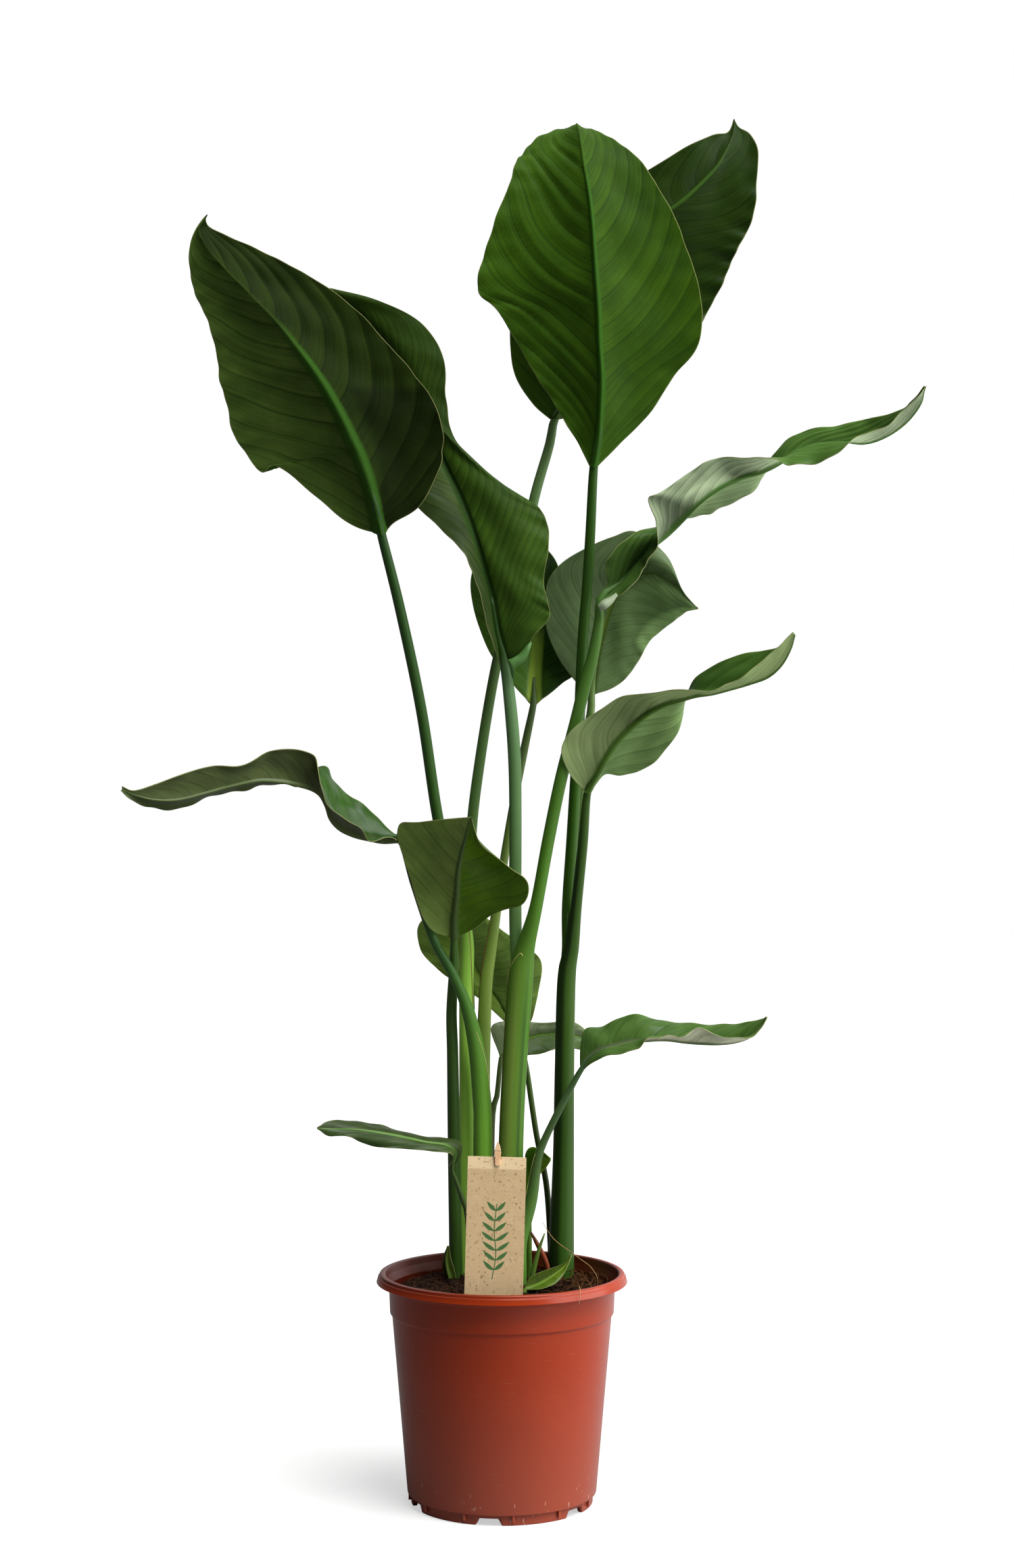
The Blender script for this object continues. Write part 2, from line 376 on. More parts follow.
YOUNG_LEAVES = ("sprout_leaf", "basal_bract")

# Centre lines with radii of the rolled young spear and of the old dried sheath
SPEAR = [[28, 5, 198, 2.6], [28, 5, 206, 2.6], [31, 5, 222, 2.4], [36, 6, 240, 1.7], [41, 6, 254, 0.7]]
OLD_SHEATH = [[45, 30, 198, 2.2], [45, 30, 206, 2.2], [44, 30, 217, 2.4], [40, 29, 228, 2.6],
              [34, 28, 240, 2.2], [28, 28, 251, 1]]
SPROUT_SIDES = 14


# Shapes
LINE_STEPS = 60  # samples between two points of a smooth line


def catmull(points, count):
    """A smooth line through the points, sampled evenly in its parameter."""
    p = np.asarray(points, float)
    ends = np.vstack([2 * p[0] - p[1], p, 2 * p[-1] - p[-2]])
    at = np.linspace(0, len(p) - 1, count)
    i = np.minimum(at.astype(int), len(p) - 2)
    w = (at - i)[:, None]
    a, b, c, d = ends[i], ends[i + 1], ends[i + 2], ends[i + 3]
    lead, tail = (c - a) / 2, (d - b) / 2
    return (2 * b - 2 * c + lead + tail) * w**3 + (3 * c - 3 * b - 2 * lead - tail) * w**2 + lead * w + b


def even_line(points, count):
    """The same line, sampled evenly by length, with its length."""
    line = catmull(points, LINE_STEPS * (len(points) - 1) + 1)
    run = np.r_[0, np.cumsum(np.linalg.norm(np.diff(line[:, :3], axis=0), axis=1))]
    at = np.linspace(0, run[-1], count)
    return np.stack([np.interp(at, run, line[:, k]) for k in range(line.shape[1])], 1), run[-1]


def blade_lines(leaf, count):
    """Midrib and both margins; lists of one length are matching sections, and are sampled together."""
    given = [leaf[key] for key in ("rib", "left", "right")]
    if len({len(line) for line in given}) > 1:
        return [even_line(line, count)[0] for line in given]
    lines = [catmull(line, LINE_STEPS * (len(line) - 1) + 1) for line in given]
    run = np.r_[0, np.cumsum(np.linalg.norm(np.diff(lines[0], axis=0), axis=1))]
    at = np.linspace(0, run[-1], count)
    return [np.stack([np.interp(at, run, line[:, k]) for k in range(3)], 1) for line in lines]


def unit(v):
    """Each vector at length 1."""
    return v / np.maximum(np.linalg.norm(v, axis=-1, keepdims=True), 1e-9)


def grid_normals(grid, sense):
    """Normals of a grid of points, all on the side that sense, 1 or -1, gives."""
    du = np.empty_like(grid)
    du[:, 1:-1] = grid[:, 2:] - grid[:, :-2]
    du[:, 0], du[:, -1] = grid[:, 1] - grid[:, 0], grid[:, -1] - grid[:, -2]
    dv = np.empty_like(grid)
    dv[1:-1] = grid[2:] - grid[:-2]
    dv[0], dv[-1] = grid[1] - grid[0], grid[-1] - grid[-2]
    return unit(np.cross(du, dv)) * sense


class Shape:
    """Points, faces and per-point values collected for one mesh."""

    def __init__(self):
        self.points, self.faces, self.uv, self.slots = [], [], [], []
        self.values = {"underside": [], "midrib": [], "margin": [], "pleat": [], "shade": []}
        self.count = 0

    def add(self, points, faces, uv, slot, **values):
        """Adds points with their faces, in one material slot; a value that isn't given is 0."""
        self.points.append(points.reshape(-1, 3))
        n = len(self.points[-1])
        self.faces += [tuple(int(k) + self.count for k in f) for f in faces]
        self.slots += [slot] * len(faces)
        self.uv.append(uv.reshape(-1, 2))
        for key, held in self.values.items():
            given = values.get(key, 0.0)
            held.append(np.broadcast_to(np.asarray(given, float), (n,)) if np.ndim(given) == 0
                        else np.asarray(given, float).reshape(-1))
        self.count += n

    def mesh(self, name, materials):
        """The collected mesh, with its UV map, attributes and materials."""
        mesh = bpy.data.meshes.new(name)
        points = np.concatenate(self.points) * MM
        mesh.from_pydata([tuple(p) for p in points], [], self.faces)
        uv = np.concatenate(self.uv)
        loop_point = np.empty(len(mesh.loops), dtype=np.int32)
        mesh.loops.foreach_get("vertex_index", loop_point)
        layer = mesh.uv_layers.new(name="tissue")
        layer.data.foreach_set("uv", uv[loop_point].reshape(-1))
        for key, held in self.values.items():
            mesh.attributes.new(key, "FLOAT", "POINT").data.foreach_set("value", np.concatenate(held))
        for m in materials:
            mesh.materials.append(m)
        mesh.polygons.foreach_set("material_index", self.slots)
        mesh.polygons.foreach_set("use_smooth", [True] * len(mesh.polygons))
        mesh.update()
        return mesh


def rim_faces(rows, columns, first, facing):
    """Faces that close the rim between two grids of points, of which the second follows the first."""
    behind = rows * columns
    steps = [(i * columns + j, columns, turn) for i in range(rows - 1)
             for j, turn in ((0, False), (columns - 1, True))]
    steps += [(i * columns + j, 1, turn) for j in range(columns - 1)
              for i, turn in ((0, True), (rows - 1, False))]
    out = []
    for place, step, turn in steps:
        p, q = first + place, first + place + step
        f = (p, q, q + behind, p + behind)
        out.append(f[::-1] if turn == facing else f)
    return out


def quads(rows, columns, offset=0, flip=False, wrap=False):
    """Faces of a grid of points; wrap joins the last column to the first."""
    out = []
    for i in range(rows - 1):
        for j in range(columns if wrap else columns - 1):
            k = (j + 1) % columns
            f = (offset + i * columns + j, offset + i * columns + k,
                 offset + (i + 1) * columns + k, offset + (i + 1) * columns + j)
            out.append(f[::-1] if flip else f)
    return out


SIDE_COLUMNS = 24
RIB_COLUMNS = np.array([0.3, 0.6, 0.85, 1.0, 1.3])  # in half widths of the midrib
MARGIN_MM = 0.9
MARGIN_TINT = 0.5
RIPPLE_LENGTHS_MM = (52, 23)
SWELL_LENGTH_MM = 95
NARROW_MM = 60  # half blades narrower than this have shallower folds
HALF_SHIFT = 40  # keeps the patterns of the two halves apart


def blade_columns(width, rib_half):
    """Shares of the half width from midrib to margin, closer at the midrib and at the margin."""
    width = np.maximum(width, 1e-6)
    near = np.minimum(rib_half / width, 0.3)[:, None]
    inner = near * RIB_COLUMNS
    last = np.maximum(1 - MARGIN_MM / width, 0.8)[:, None]
    start = near * RIB_COLUMNS[-1]
    body = start + (last - start) * np.linspace(0, 1, SIDE_COLUMNS + 1)[1:]
    return np.concatenate([inner, body, np.ones((len(width), 1))], 1)


def pillow(phase):
    """Height of the blade between two side veins: a low pillow with a sharp crease at each whole number,
    lowered by about its mean height."""
    off = np.abs(phase - np.round(phase)) * 2
    return 1 - (1 - off) ** 2 - 0.62


def patch_shades(look, t, across):
    """How light each point of a blade is: 1, except in the patches that its look lists."""
    shade = np.ones_like(across)
    for begin, end, inner, outer, strength in look.get("shades", ()):
        along_it = np.clip(np.minimum(t - begin, end - t) / 0.03 + 0.5, 0, 1)[:, None]
        across_it = np.clip(np.minimum(across - inner, outer - across) / 0.1 + 0.5, 0, 1)
        shade = shade * (1 + (strength - 1) * along_it * across_it)
    return shade


def relief(look, settings, which, share, width, t, length):
    """How far one half of the blade rises above its flat shape, in mm, and where each point lies between the
    side veins; which is 0 for the left half and 1 for the right."""
    sign = 1 if which else -1
    ends = np.sin(np.pi * np.clip(t, 0.01, 0.99))[:, None] ** 0.4
    arch = settings.arch * width[:, None] * 4 * share * (1 - share)
    phase = (t[:, None] - look["sweep"][which] * share**1.3) * look["pleats"][which]
    uneven = 0.7 + 0.3 * np.sin(2.4 * np.round(phase) + 5.0 * which)
    fade = np.clip((share - 0.02) / 0.1, 0, 1) * (1 - 0.55 * share**3) * ends
    narrow = np.clip(width / NARROW_MM, 0.15, 1)[:, None]
    pleat = look["depth"][which] * pillow(phase) * uneven * fade * narrow
    run = t * length
    long, short = (run / wave for wave in RIPPLE_LENGTHS_MM)
    waves = np.sin(2 * np.pi * (long + 0.37 * which)) + 0.6 * np.sin(2 * np.pi * (short + 0.2))
    ripple = look["ripple"][which] * share**5 * ends * waves[:, None]
    slow = np.sin(2 * np.pi * (run[:, None] / SWELL_LENGTH_MM + 0.8 * share * sign))
    swell = settings.swell / MM * ends * slow * np.sin(np.pi * np.minimum(share * 1.2, 1))
    return arch + pleat + ripple + swell * narrow, phase


def add_blade(shape, leaf, look, settings):
    """The blade: each half runs from midrib to margin in a low arch, folded between the side veins."""
    length = even_line(leaf["rib"], 50)[1]
    stations = int(max(30, round(length / settings.row_step)))
    rib, left, right = blade_lines(leaf, stations)
    t = np.linspace(0, 1, stations)
    along = unit(np.gradient(rib, axis=0))
    up = unit(np.cross(right - left, along)) * leaf["upper"]
    rib_r = leaf["stalk"][-1][3] * look.get("rib_size", 1.2)
    rib_half = rib_r * (1 - 0.8 * t)
    halves = []
    for which, (margin, sign) in enumerate(((left, -1), (right, 1))):
        side = margin - rib
        width = np.linalg.norm(side, axis=1)
        share = blade_columns(width, rib_half)
        height, phase = relief(look, settings, which, share, width, t, length)
        lift = unit(np.cross(side * sign, along)) * leaf["upper"]
        place = rib[:, None] + side[:, None] * share[:, :, None] + lift[:, None] * height[:, :, None]
        off = share * width[:, None] / np.maximum(rib_half[:, None], 0.2)
        halves.append([value[:, ::sign] for value in (place, sign * share, phase + HALF_SHIFT * which, off)])
    zero = np.zeros((stations, 1))
    middle = rib[:, None], zero, t[:, None] * look["pleats"][0], zero
    grid, across, pleats, off = (np.concatenate(parts, 1) for parts in zip(halves[0], middle, halves[1]))
    normals = grid_normals(grid, leaf["upper"])
    stays = np.clip((look.get("rib_end", 1.1) - t) / 0.16, 0, 1)
    rise = look.get("rib_rise", 1) * stays * rib_r * (1 - t) ** 1.2 + 0.2
    ridge = np.sqrt(np.clip(1 - off**2, 0, 1)) * rise[:, None]
    channel = np.exp(-(off * 1.3) ** 2) * (stays * rib_r * 0.32 * (1 - t) ** 0.8)[:, None]
    thick = settings.blade_thickness / MM / 2
    top = grid + normals * (thick - channel)[:, :, None]
    bottom = grid - normals * thick - up[:, None] * ridge[:, :, None]
    rows, cols = across.shape
    uv = np.stack([0.5 + across / 2, np.broadcast_to(t[:, None], across.shape)], -1)
    midrib = np.clip(1.25 - off, 0, 0.5) * 2 * stays[:, None]
    margin = np.zeros_like(across)
    margin[:, [0, -1]] = MARGIN_TINT
    values = dict(midrib=midrib, margin=margin, pleat=pleats, shade=patch_shades(look, t, across))
    facing = leaf["upper"] > 0
    first = shape.count
    shape.add(top, quads(rows, cols, flip=not facing), uv, 0, **values)
    shape.add(bottom, quads(rows, cols, flip=facing), uv, 0, underside=1.0, **values)
    rim = rim_faces(rows, cols, first, facing)
    shape.faces += rim
    shape.slots += [0] * len(rim)
    return rib, up


RING_STEP_MM = 9


def add_stalk(shape, points, sides, slot):
    """A round stalk through points that carry their own radius, closed at both ends."""
    length = sum(math.dist(p[:3], q[:3]) for p, q in zip(points, points[1:]))
    line = even_line(points, max(12, int(length / RING_STEP_MM)))[0]
    centres = line[:, :3]
    along = unit(np.gradient(centres, axis=0))
    axis = np.array([1.0, 0.0, 0.0])
    rings = []
    turn = np.arange(sides) / sides * 2 * math.pi
    for c, d, r in zip(centres, along, line[:, 3]):
        axis = unit(axis - d * axis.dot(d))
        other = np.cross(d, axis)
        rings.append(c + (np.cos(turn)[:, None] * axis + np.sin(turn)[:, None] * other) * r)
    grid = np.stack(rings)
    rows = len(grid)
    uv = np.stack(np.broadcast_arrays((turn / (2 * math.pi))[None], np.linspace(0, 1, rows)[:, None]), -1)
    faces = quads(rows, sides, wrap=True)
    faces.append(tuple(range(sides))[::-1])
    faces.append(tuple((rows - 1) * sides + s for s in range(sides)))
    shape.add(grid, faces, uv, slot)


# Materials
BLACK, WHITE = (0, 0, 0, 1), (1, 1, 1, 1)


def linear(hexcode):
    """An sRGB hex colour as linear RGBA."""
    parts = [int(hexcode[k:k + 2], 16) / 255 for k in (1, 3, 5)]
    return tuple(p / 12.92 if p <= 0.04045 else ((p + 0.055) / 1.055) ** 2.4 for p in parts) + (1.0,)


def add_node(tree, kind, inputs=(), stops=(), **settings):
    """One node: settings are its properties, stops the places and colours of a colour ramp, and inputs maps
    sockets to a value or to another node's socket."""
    node = tree.nodes.new(kind)
    for key, value in settings.items():
        setattr(node, key, value)
    for key, value in dict(inputs).items():
        if isinstance(value, bpy.types.NodeSocket):
            tree.links.new(value, node.inputs[key])
        else:
            node.inputs[key].default_value = value
    if stops:
        while len(node.color_ramp.elements) < len(stops):
            node.color_ramp.elements.new(0.5)
        for element, (at, colour) in zip(node.color_ramp.elements, stops):
            element.position, element.color = at, colour
    return node


def new_material(name, **constants):
    """A material whose Principled shader has these sockets set, with its tree and shader."""
    material = bpy.data.materials.new(name)
    material.use_nodes = True
    shader = material.node_tree.nodes["Principled BSDF"]
    for key, value in constants.items():
        shader.inputs[key].default_value = value
    return material, material.node_tree, shader


def layered(tree, colour, *layers):
    """A colour with layers laid over it in turn, each a share, a colour and how it is laid on."""
    for share, over, way in layers:
        colour = add_node(tree, "ShaderNodeMix", {0: share, 6: colour, 7: over}, data_type="RGBA",
                          blend_type=way, clamp_factor=True).outputs[2]
    return colour


def speckle(tree, scale_per_m, detail, roughness=0.6):
    """An even speckle through the whole piece."""
    coords = add_node(tree, "ShaderNodeTexCoord").outputs["Object"]
    return add_node(tree, "ShaderNodeTexNoise", {"Vector": coords, "Scale": scale_per_m, "Detail": detail,
                                                 "Roughness": roughness}).outputs["Fac"]


def streaks(tree, coords, stretch, detail, scale=1.0, turn=(0.0, 0.0, 0.0)):
    """A speckle on coordinates that are first stretched and turned, so that it runs in one direction."""
    spot = add_node(tree, "ShaderNodeMapping", {"Vector": coords, "Scale": stretch, "Rotation": turn})
    return add_node(tree, "ShaderNodeTexNoise", {"Vector": spot.outputs[0], "Scale": scale,
                                                 "Detail": detail}).outputs["Fac"]


def half_colours(tree, across, hexes):
    """The colour of a blade's face: one hex colour for its left half and one for its right half."""
    left, right = (linear(h) for h in hexes)
    return add_node(tree, "ShaderNodeValToRGB", {"Fac": across},
                    stops=[(0.48, left), (0.52, right)]).outputs[0]


VEINS_PER_PLEAT = 7.0  # fine side veins about 2 mm apart; the real ones, about 1 mm apart, don't show


def leaf_blade_material(name, look):
    """Living leaf: a waxy cuticle over soft tissue. Smooth and half glossy above, matt and paler below,
    with fine side veins, a crease of darker tissue between pleats and a thin pale margin."""
    material, tree, shader = new_material(f"waxy leaf tissue, {name}", **{
        "IOR": 1.4, "Specular IOR Level": look.get("shine", 0.22)})
    under, pleat, shade, midrib, margin = (
        add_node(tree, "ShaderNodeAttribute", attribute_name=key).outputs["Fac"]
        for key in ("underside", "pleat", "shade", "midrib", "margin"))
    uv = add_node(tree, "ShaderNodeUVMap", uv_map="tissue").outputs[0]
    across = add_node(tree, "ShaderNodeSeparateXYZ", {0: uv}).outputs[0]
    above, below = (half_colours(tree, across, look[key]) for key in ("upper_hex", "under_hex"))
    mottled = add_node(tree, "ShaderNodeValToRGB", {"Fac": speckle(tree, 22.0, 4.0)}, stops=[
        (0.3, (0.62, 0.66, 0.6, 1)), (0.7, (1.25, 1.18, 1.1, 1))]).outputs[0]
    shaded = add_node(tree, "ShaderNodeCombineXYZ", {"X": shade, "Y": shade, "Z": shade}).outputs[0]
    vein = add_node(tree, "ShaderNodeMath", {0: pleat, 1: VEINS_PER_PLEAT}, operation="MULTIPLY").outputs[0]
    out = add_node(tree, "ShaderNodeMath", {0: across, 1: 3.0}, operation="MULTIPLY").outputs[0]
    streak_at = add_node(tree, "ShaderNodeCombineXYZ", {"X": vein, "Y": out}).outputs[0]
    streak = add_node(tree, "ShaderNodeTexNoise", {"Vector": streak_at, "Scale": 1.0, "Detail": 3.0,
                                                   "Roughness": 0.65}).outputs["Fac"]
    veins = add_node(tree, "ShaderNodeValToRGB", {"Fac": streak}, stops=[
        (0.3, (0.55, 0.6, 0.5, 1)), (0.7, (1.3, 1.25, 1.15, 1))]).outputs[0]
    uneven = add_node(tree, "ShaderNodeMath", {0: streak, 1: 0.8, 2: vein},
                      operation="MULTIPLY_ADD").outputs[0]
    nearest = add_node(tree, "ShaderNodeMath", {0: uneven, 1: 0.5}, operation="PINGPONG").outputs[0]
    lines = add_node(tree, "ShaderNodeValToRGB", {"Fac": nearest}, stops=[
        (0.0, (0.68, 0.74, 0.64, 1)), (0.24, WHITE), (0.5, (1.1, 1.08, 1.05, 1))]).outputs[0]
    along_fold = add_node(tree, "ShaderNodeMath", {0: pleat}, operation="FRACT").outputs[0]
    fold = add_node(tree, "ShaderNodeValToRGB", {"Fac": along_fold}, stops=[
        (0.0, (1.35, 1.3, 1.2, 1)), (0.3, (1.1, 1.08, 1.05, 1)),
        (0.92, (0.72, 0.75, 0.68, 1)), (1.0, (0.5, 0.54, 0.46, 1))]).outputs[0]
    from_crease = add_node(tree, "ShaderNodeMath", {0: pleat, 1: 0.5}, operation="PINGPONG").outputs[0]
    strength = look.get("crease", 0.4)
    crease = add_node(tree, "ShaderNodeValToRGB", {"Fac": from_crease}, stops=[
        (0.0, (strength, strength, strength, 1)), (0.1, BLACK)]).outputs[0]
    tissue = layered(
        tree, above, (under, below, "MIX"), (look.get("mottle", 0.8), mottled, "MULTIPLY"),
        (1.0, shaded, "MULTIPLY"), (0.6, veins, "MULTIPLY"), (look.get("veins", 0.5), lines, "MULTIPLY"),
        (look.get("folds", 0.3), fold, "MULTIPLY"), (crease, (0.45, 0.5, 0.4, 1), "MULTIPLY"),
        (midrib, linear(look["rib_hex"]), "MIX"), (margin, linear("#a3a56a"), "MIX"))
    tree.links.new(tissue, shader.inputs["Base Color"])
    rough = add_node(tree, "ShaderNodeMath", {0: under, 1: look.get("matt", 0.08),
                                              2: look.get("rough", 0.3)}, operation="MULTIPLY_ADD").outputs[0]
    tree.links.new(rough, shader.inputs["Roughness"])
    bump = add_node(tree, "ShaderNodeBump", {"Strength": 0.3, "Distance": 0.0005, "Height": streak})
    tree.links.new(bump.outputs[0], shader.inputs["Normal"])
    return material


def stalk_material(name, look):
    """Leaf stalk: firm fibrous tissue with a waxy skin, satin, paler and yellower towards the soil,
    with fine lengthwise fibres."""
    material, tree, shader = new_material(f"fibrous leaf stalk, {name}", **{
        "Roughness": 0.4, "IOR": 1.42, "Specular IOR Level": 0.25})
    uv = add_node(tree, "ShaderNodeUVMap", uv_map="tissue").outputs[0]
    split = add_node(tree, "ShaderNodeSeparateXYZ", {0: uv})
    colours = [linear(look[k]) for k in ("foot", "mid", "top")]
    base = add_node(tree, "ShaderNodeValToRGB", {"Fac": split.outputs["Y"]},
                    stops=list(zip(look.get("bands", (0.1, 0.55, 0.95)), colours))).outputs[0]
    fibre = streaks(tree, uv, (26.0, 5.0, 1.0), 3.0)
    faint = add_node(tree, "ShaderNodeMath", {0: fibre, 1: 0.5}, operation="MULTIPLY").outputs[0]
    layers = [(faint, (0.35, 0.42, 0.22, 1), "MULTIPLY")]
    for tint, begin, end, top in look.get("sides", ()):
        strip = add_node(tree, "ShaderNodeValToRGB", {"Fac": split.outputs["X"]}, stops=[
            (begin, BLACK), (begin + 0.05, WHITE), (end - 0.05, WHITE), (end, BLACK)]).outputs[0]
        below = add_node(tree, "ShaderNodeValToRGB", {"Fac": split.outputs["Y"]},
                         stops=[(top - 0.12, WHITE), (top, BLACK)]).outputs[0]
        share = add_node(tree, "ShaderNodeMath", {0: strip, 1: below}, operation="MULTIPLY").outputs[0]
        layers.append((share, linear(tint), "MIX"))
    tree.links.new(layered(tree, base, *layers), shader.inputs["Base Color"])
    return material


def pot_material(settings):
    """Polypropylene, injection moulded in a polished tool and coloured terracotta: satin gloss with a
    faint mottle, fine handling scratches and scuffs near the foot."""
    material, tree, shader = new_material("injection-moulded polypropylene, terracotta", **{
        "Roughness": 0.26, "IOR": 1.49, "Specular IOR Level": 0.38})
    coords = add_node(tree, "ShaderNodeTexCoord").outputs["Object"]
    long = streaks(tree, coords, (60.0, 60.0, 900.0), 1.0, turn=(0.3, 0.15, 0.0))
    scratch = add_node(tree, "ShaderNodeValToRGB", {"Fac": long}, stops=[
        (0.74, BLACK), (0.78, (0.12, 0.12, 0.12, 1))]).outputs[0]
    short = streaks(tree, coords, (420.0, 420.0, 110.0), 1.0, turn=(0.0, 0.35, 0.0))
    rub = add_node(tree, "ShaderNodeValToRGB", {"Fac": short},
                   stops=[(0.72, BLACK), (0.76, WHITE)]).outputs[0]
    height = add_node(tree, "ShaderNodeSeparateXYZ", {0: coords}).outputs["Z"]
    low = add_node(tree, "ShaderNodeMapRange", {"Value": height, "From Min": 42 * MM, "From Max": 26 * MM,
                                                "To Max": 0.5}).outputs[0]
    scuff = add_node(tree, "ShaderNodeMath", {0: rub, 1: low}, operation="MULTIPLY").outputs[0]
    film = add_node(tree, "ShaderNodeMapRange", {"Value": height, "From Min": 150 * MM, "From Max": 15 * MM,
                                                 "To Max": 0.1}).outputs[0]
    stain = add_node(tree, "ShaderNodeAttribute", attribute_name="stain").outputs["Fac"]
    smear = add_node(tree, "ShaderNodeMath", {0: stain, 1: 0.85}, operation="MULTIPLY").outputs[0]
    base = layered(tree, tuple(settings.colour) + (1,), (speckle(tree, 9.0, 4.0), linear("#8e2908"), "MIX"),
                   (scratch, linear("#d9a894"), "MIX"), (scuff, linear("#e2b8a6"), "MIX"),
                   (film, linear("#dcae9a"), "MIX"), (smear, linear("#2e120b"), "MIX"))
    tree.links.new(base, shader.inputs["Base Color"])
    return material


def plain_material(name, hexcode, roughness, scale_per_m=0.0, second=None, **constants):
    """A finish of one colour, or of two mixed by a fine speckle."""
    material, tree, shader = new_material(name, **{"Roughness": roughness, **constants})
    if second is None:
        shader.inputs["Base Color"].default_value = linear(hexcode)
        return material
    share = add_node(tree, "ShaderNodeValToRGB", {"Fac": speckle(tree, scale_per_m, 5.0)},
                     stops=[(0.35, BLACK), (0.65, WHITE)]).outputs[0]
    mixed = layered(tree, linear(hexcode), (share, linear(second), "MIX"))
    tree.links.new(mixed, shader.inputs["Base Color"])
    return material


def card_material():
    """Kraft card, pressed from recycled pulp: matt, warm beige, with dark and light fibre flecks."""
    material, tree, shader = new_material("kraft card with pulp flecks", Roughness=0.9)
    coords = add_node(tree, "ShaderNodeTexCoord").outputs["Object"]
    lean = math.radians(CARD_LEAN_DEG)
    height = add_node(tree, "ShaderNodeVectorMath", {0: coords, 1: (math.sin(lean), 0, math.cos(lean))},
                      operation="DOT_PRODUCT").outputs["Value"]
    crease_z = CARD_TOP_Z - CREASE
    folded = add_node(tree, "ShaderNodeMapRange", {
        "Value": height, "From Min": (crease_z - 1.2) * MM, "From Max": (crease_z + 0.2) * MM,
        "To Max": 0.5}).outputs[0]
    layers = [(speckle(tree, 120.0, 3.0), linear("#c0a275"), "MIX"), (folded, linear("#e6cfa6"), "MIX")]
    for scale, low, high, colour, stretch in ((500.0, 0.66, 0.7, "#8a6540", (1.0, 1.0, 0.5)),
                                              (260.0, 0.69, 0.71, "#6a4428", (0.8, 1.0, 2.2)),
                                              (900.0, 0.7, 0.75, "#efe0c2", (1.0, 1.0, 1.0))):
        flecks = add_node(tree, "ShaderNodeValToRGB", {"Fac": streaks(tree, coords, stretch, 1.0, scale)},
                          stops=[(low, BLACK), (high, (0.7, 0.7, 0.7, 1))]).outputs[0]
        layers.append((flecks, linear(colour), "MIX"))
    tree.links.new(layered(tree, linear("#d7bb91"), *layers), shader.inputs["Base Color"])
    return material


FLOOR_GLOW = 0.55  # the floor's own light, as a share of how it looks
FLOOR_SHADE_M = (-0.3, 0.7)  # from the left, where the floor throws least light back, to the right


def dim_floor(material, on_left, on_right):
    """Makes the floor throw only a share of its light back onto the object, least on the left, as a sweep
    that is lit from the right does; seen directly it glows a little from below, as a light table does, which
    keeps the object's shadow faint."""
    tree = material.node_tree
    shader, out = tree.nodes["Principled BSDF"], tree.nodes["Material Output"]
    seen = add_node(tree, "ShaderNodeLightPath").outputs["Is Camera Ray"]
    spot = add_node(tree, "ShaderNodeTexCoord").outputs["Object"]
    left_m, right_m = FLOOR_SHADE_M
    share = add_node(tree, "ShaderNodeMapRange", {
        "Value": add_node(tree, "ShaderNodeSeparateXYZ", {0: spot}).outputs[0], "From Min": left_m,
        "From Max": right_m, "To Min": on_left, "To Max": on_right},
        interpolation_type="SMOOTHSTEP").outputs[0]
    grey = add_node(tree, "ShaderNodeBsdfDiffuse", {"Color": share}).outputs[0]
    glow = add_node(tree, "ShaderNodeEmission", {"Color": WHITE, "Strength": 1.0}).outputs[0]
    table = add_node(tree, "ShaderNodeMixShader", {0: FLOOR_GLOW, 1: shader.outputs[0], 2: glow}).outputs[0]
    mixed = add_node(tree, "ShaderNodeMixShader", {0: seen, 1: grey, 2: table}).outputs[0]
    tree.links.new(mixed, out.inputs["Surface"])


# Finished pieces
def place(name, mesh, slot, nodes=()):
    """A finished piece at the origin, riding on the object's one body."""
    obj = bpy.data.objects.new(name, mesh)
    bpy.context.scene.collection.objects.link(obj)
    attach(obj, "root")
    if nodes:
        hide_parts(*nodes)
    return obj


def stalk_points(leaf, rib, up, foot_z):
    """The stalk's centre line, from its foot in the soil to where it runs out along the midrib."""
    stalk = leaf["stalk"]
    radius = stalk[-1][3]
    points = [[stalk[0][0], stalk[0][1], foot_z, stalk[0][3]]] + [list(p) for p in stalk]
    last = len(rib) - 1
    for share, keep in ((0.07, 0.72), (0.16, 0.45)):
        i = round(last * share)
        points.append([*(rib[i] - up[i] * radius * 0.3), radius * keep])
    return points


STEM_FOOT_Z = 150
YOUNG_FOOT_DEPTH = 8


def grow_leaf(name, settings):
    """One leaf with its stalk, in two materials."""
    leaf, look = LEAVES[name], LOOKS[name]
    shape = Shape()
    rib, up = add_blade(shape, leaf, look, settings)
    foot_z = leaf["stalk"][0][2] - YOUNG_FOOT_DEPTH if name in YOUNG_LEAVES else STEM_FOOT_Z
    add_stalk(shape, stalk_points(leaf, rib, up, foot_z), settings.stalk_sides, 1)
    mesh = shape.mesh(name + "_grown", [leaf_blade_material(name, look), stalk_material(name, look)])
    slot = "young_leaf" if name in YOUNG_LEAVES else "leaf"
    place(name + "_grown", mesh, slot, [name])


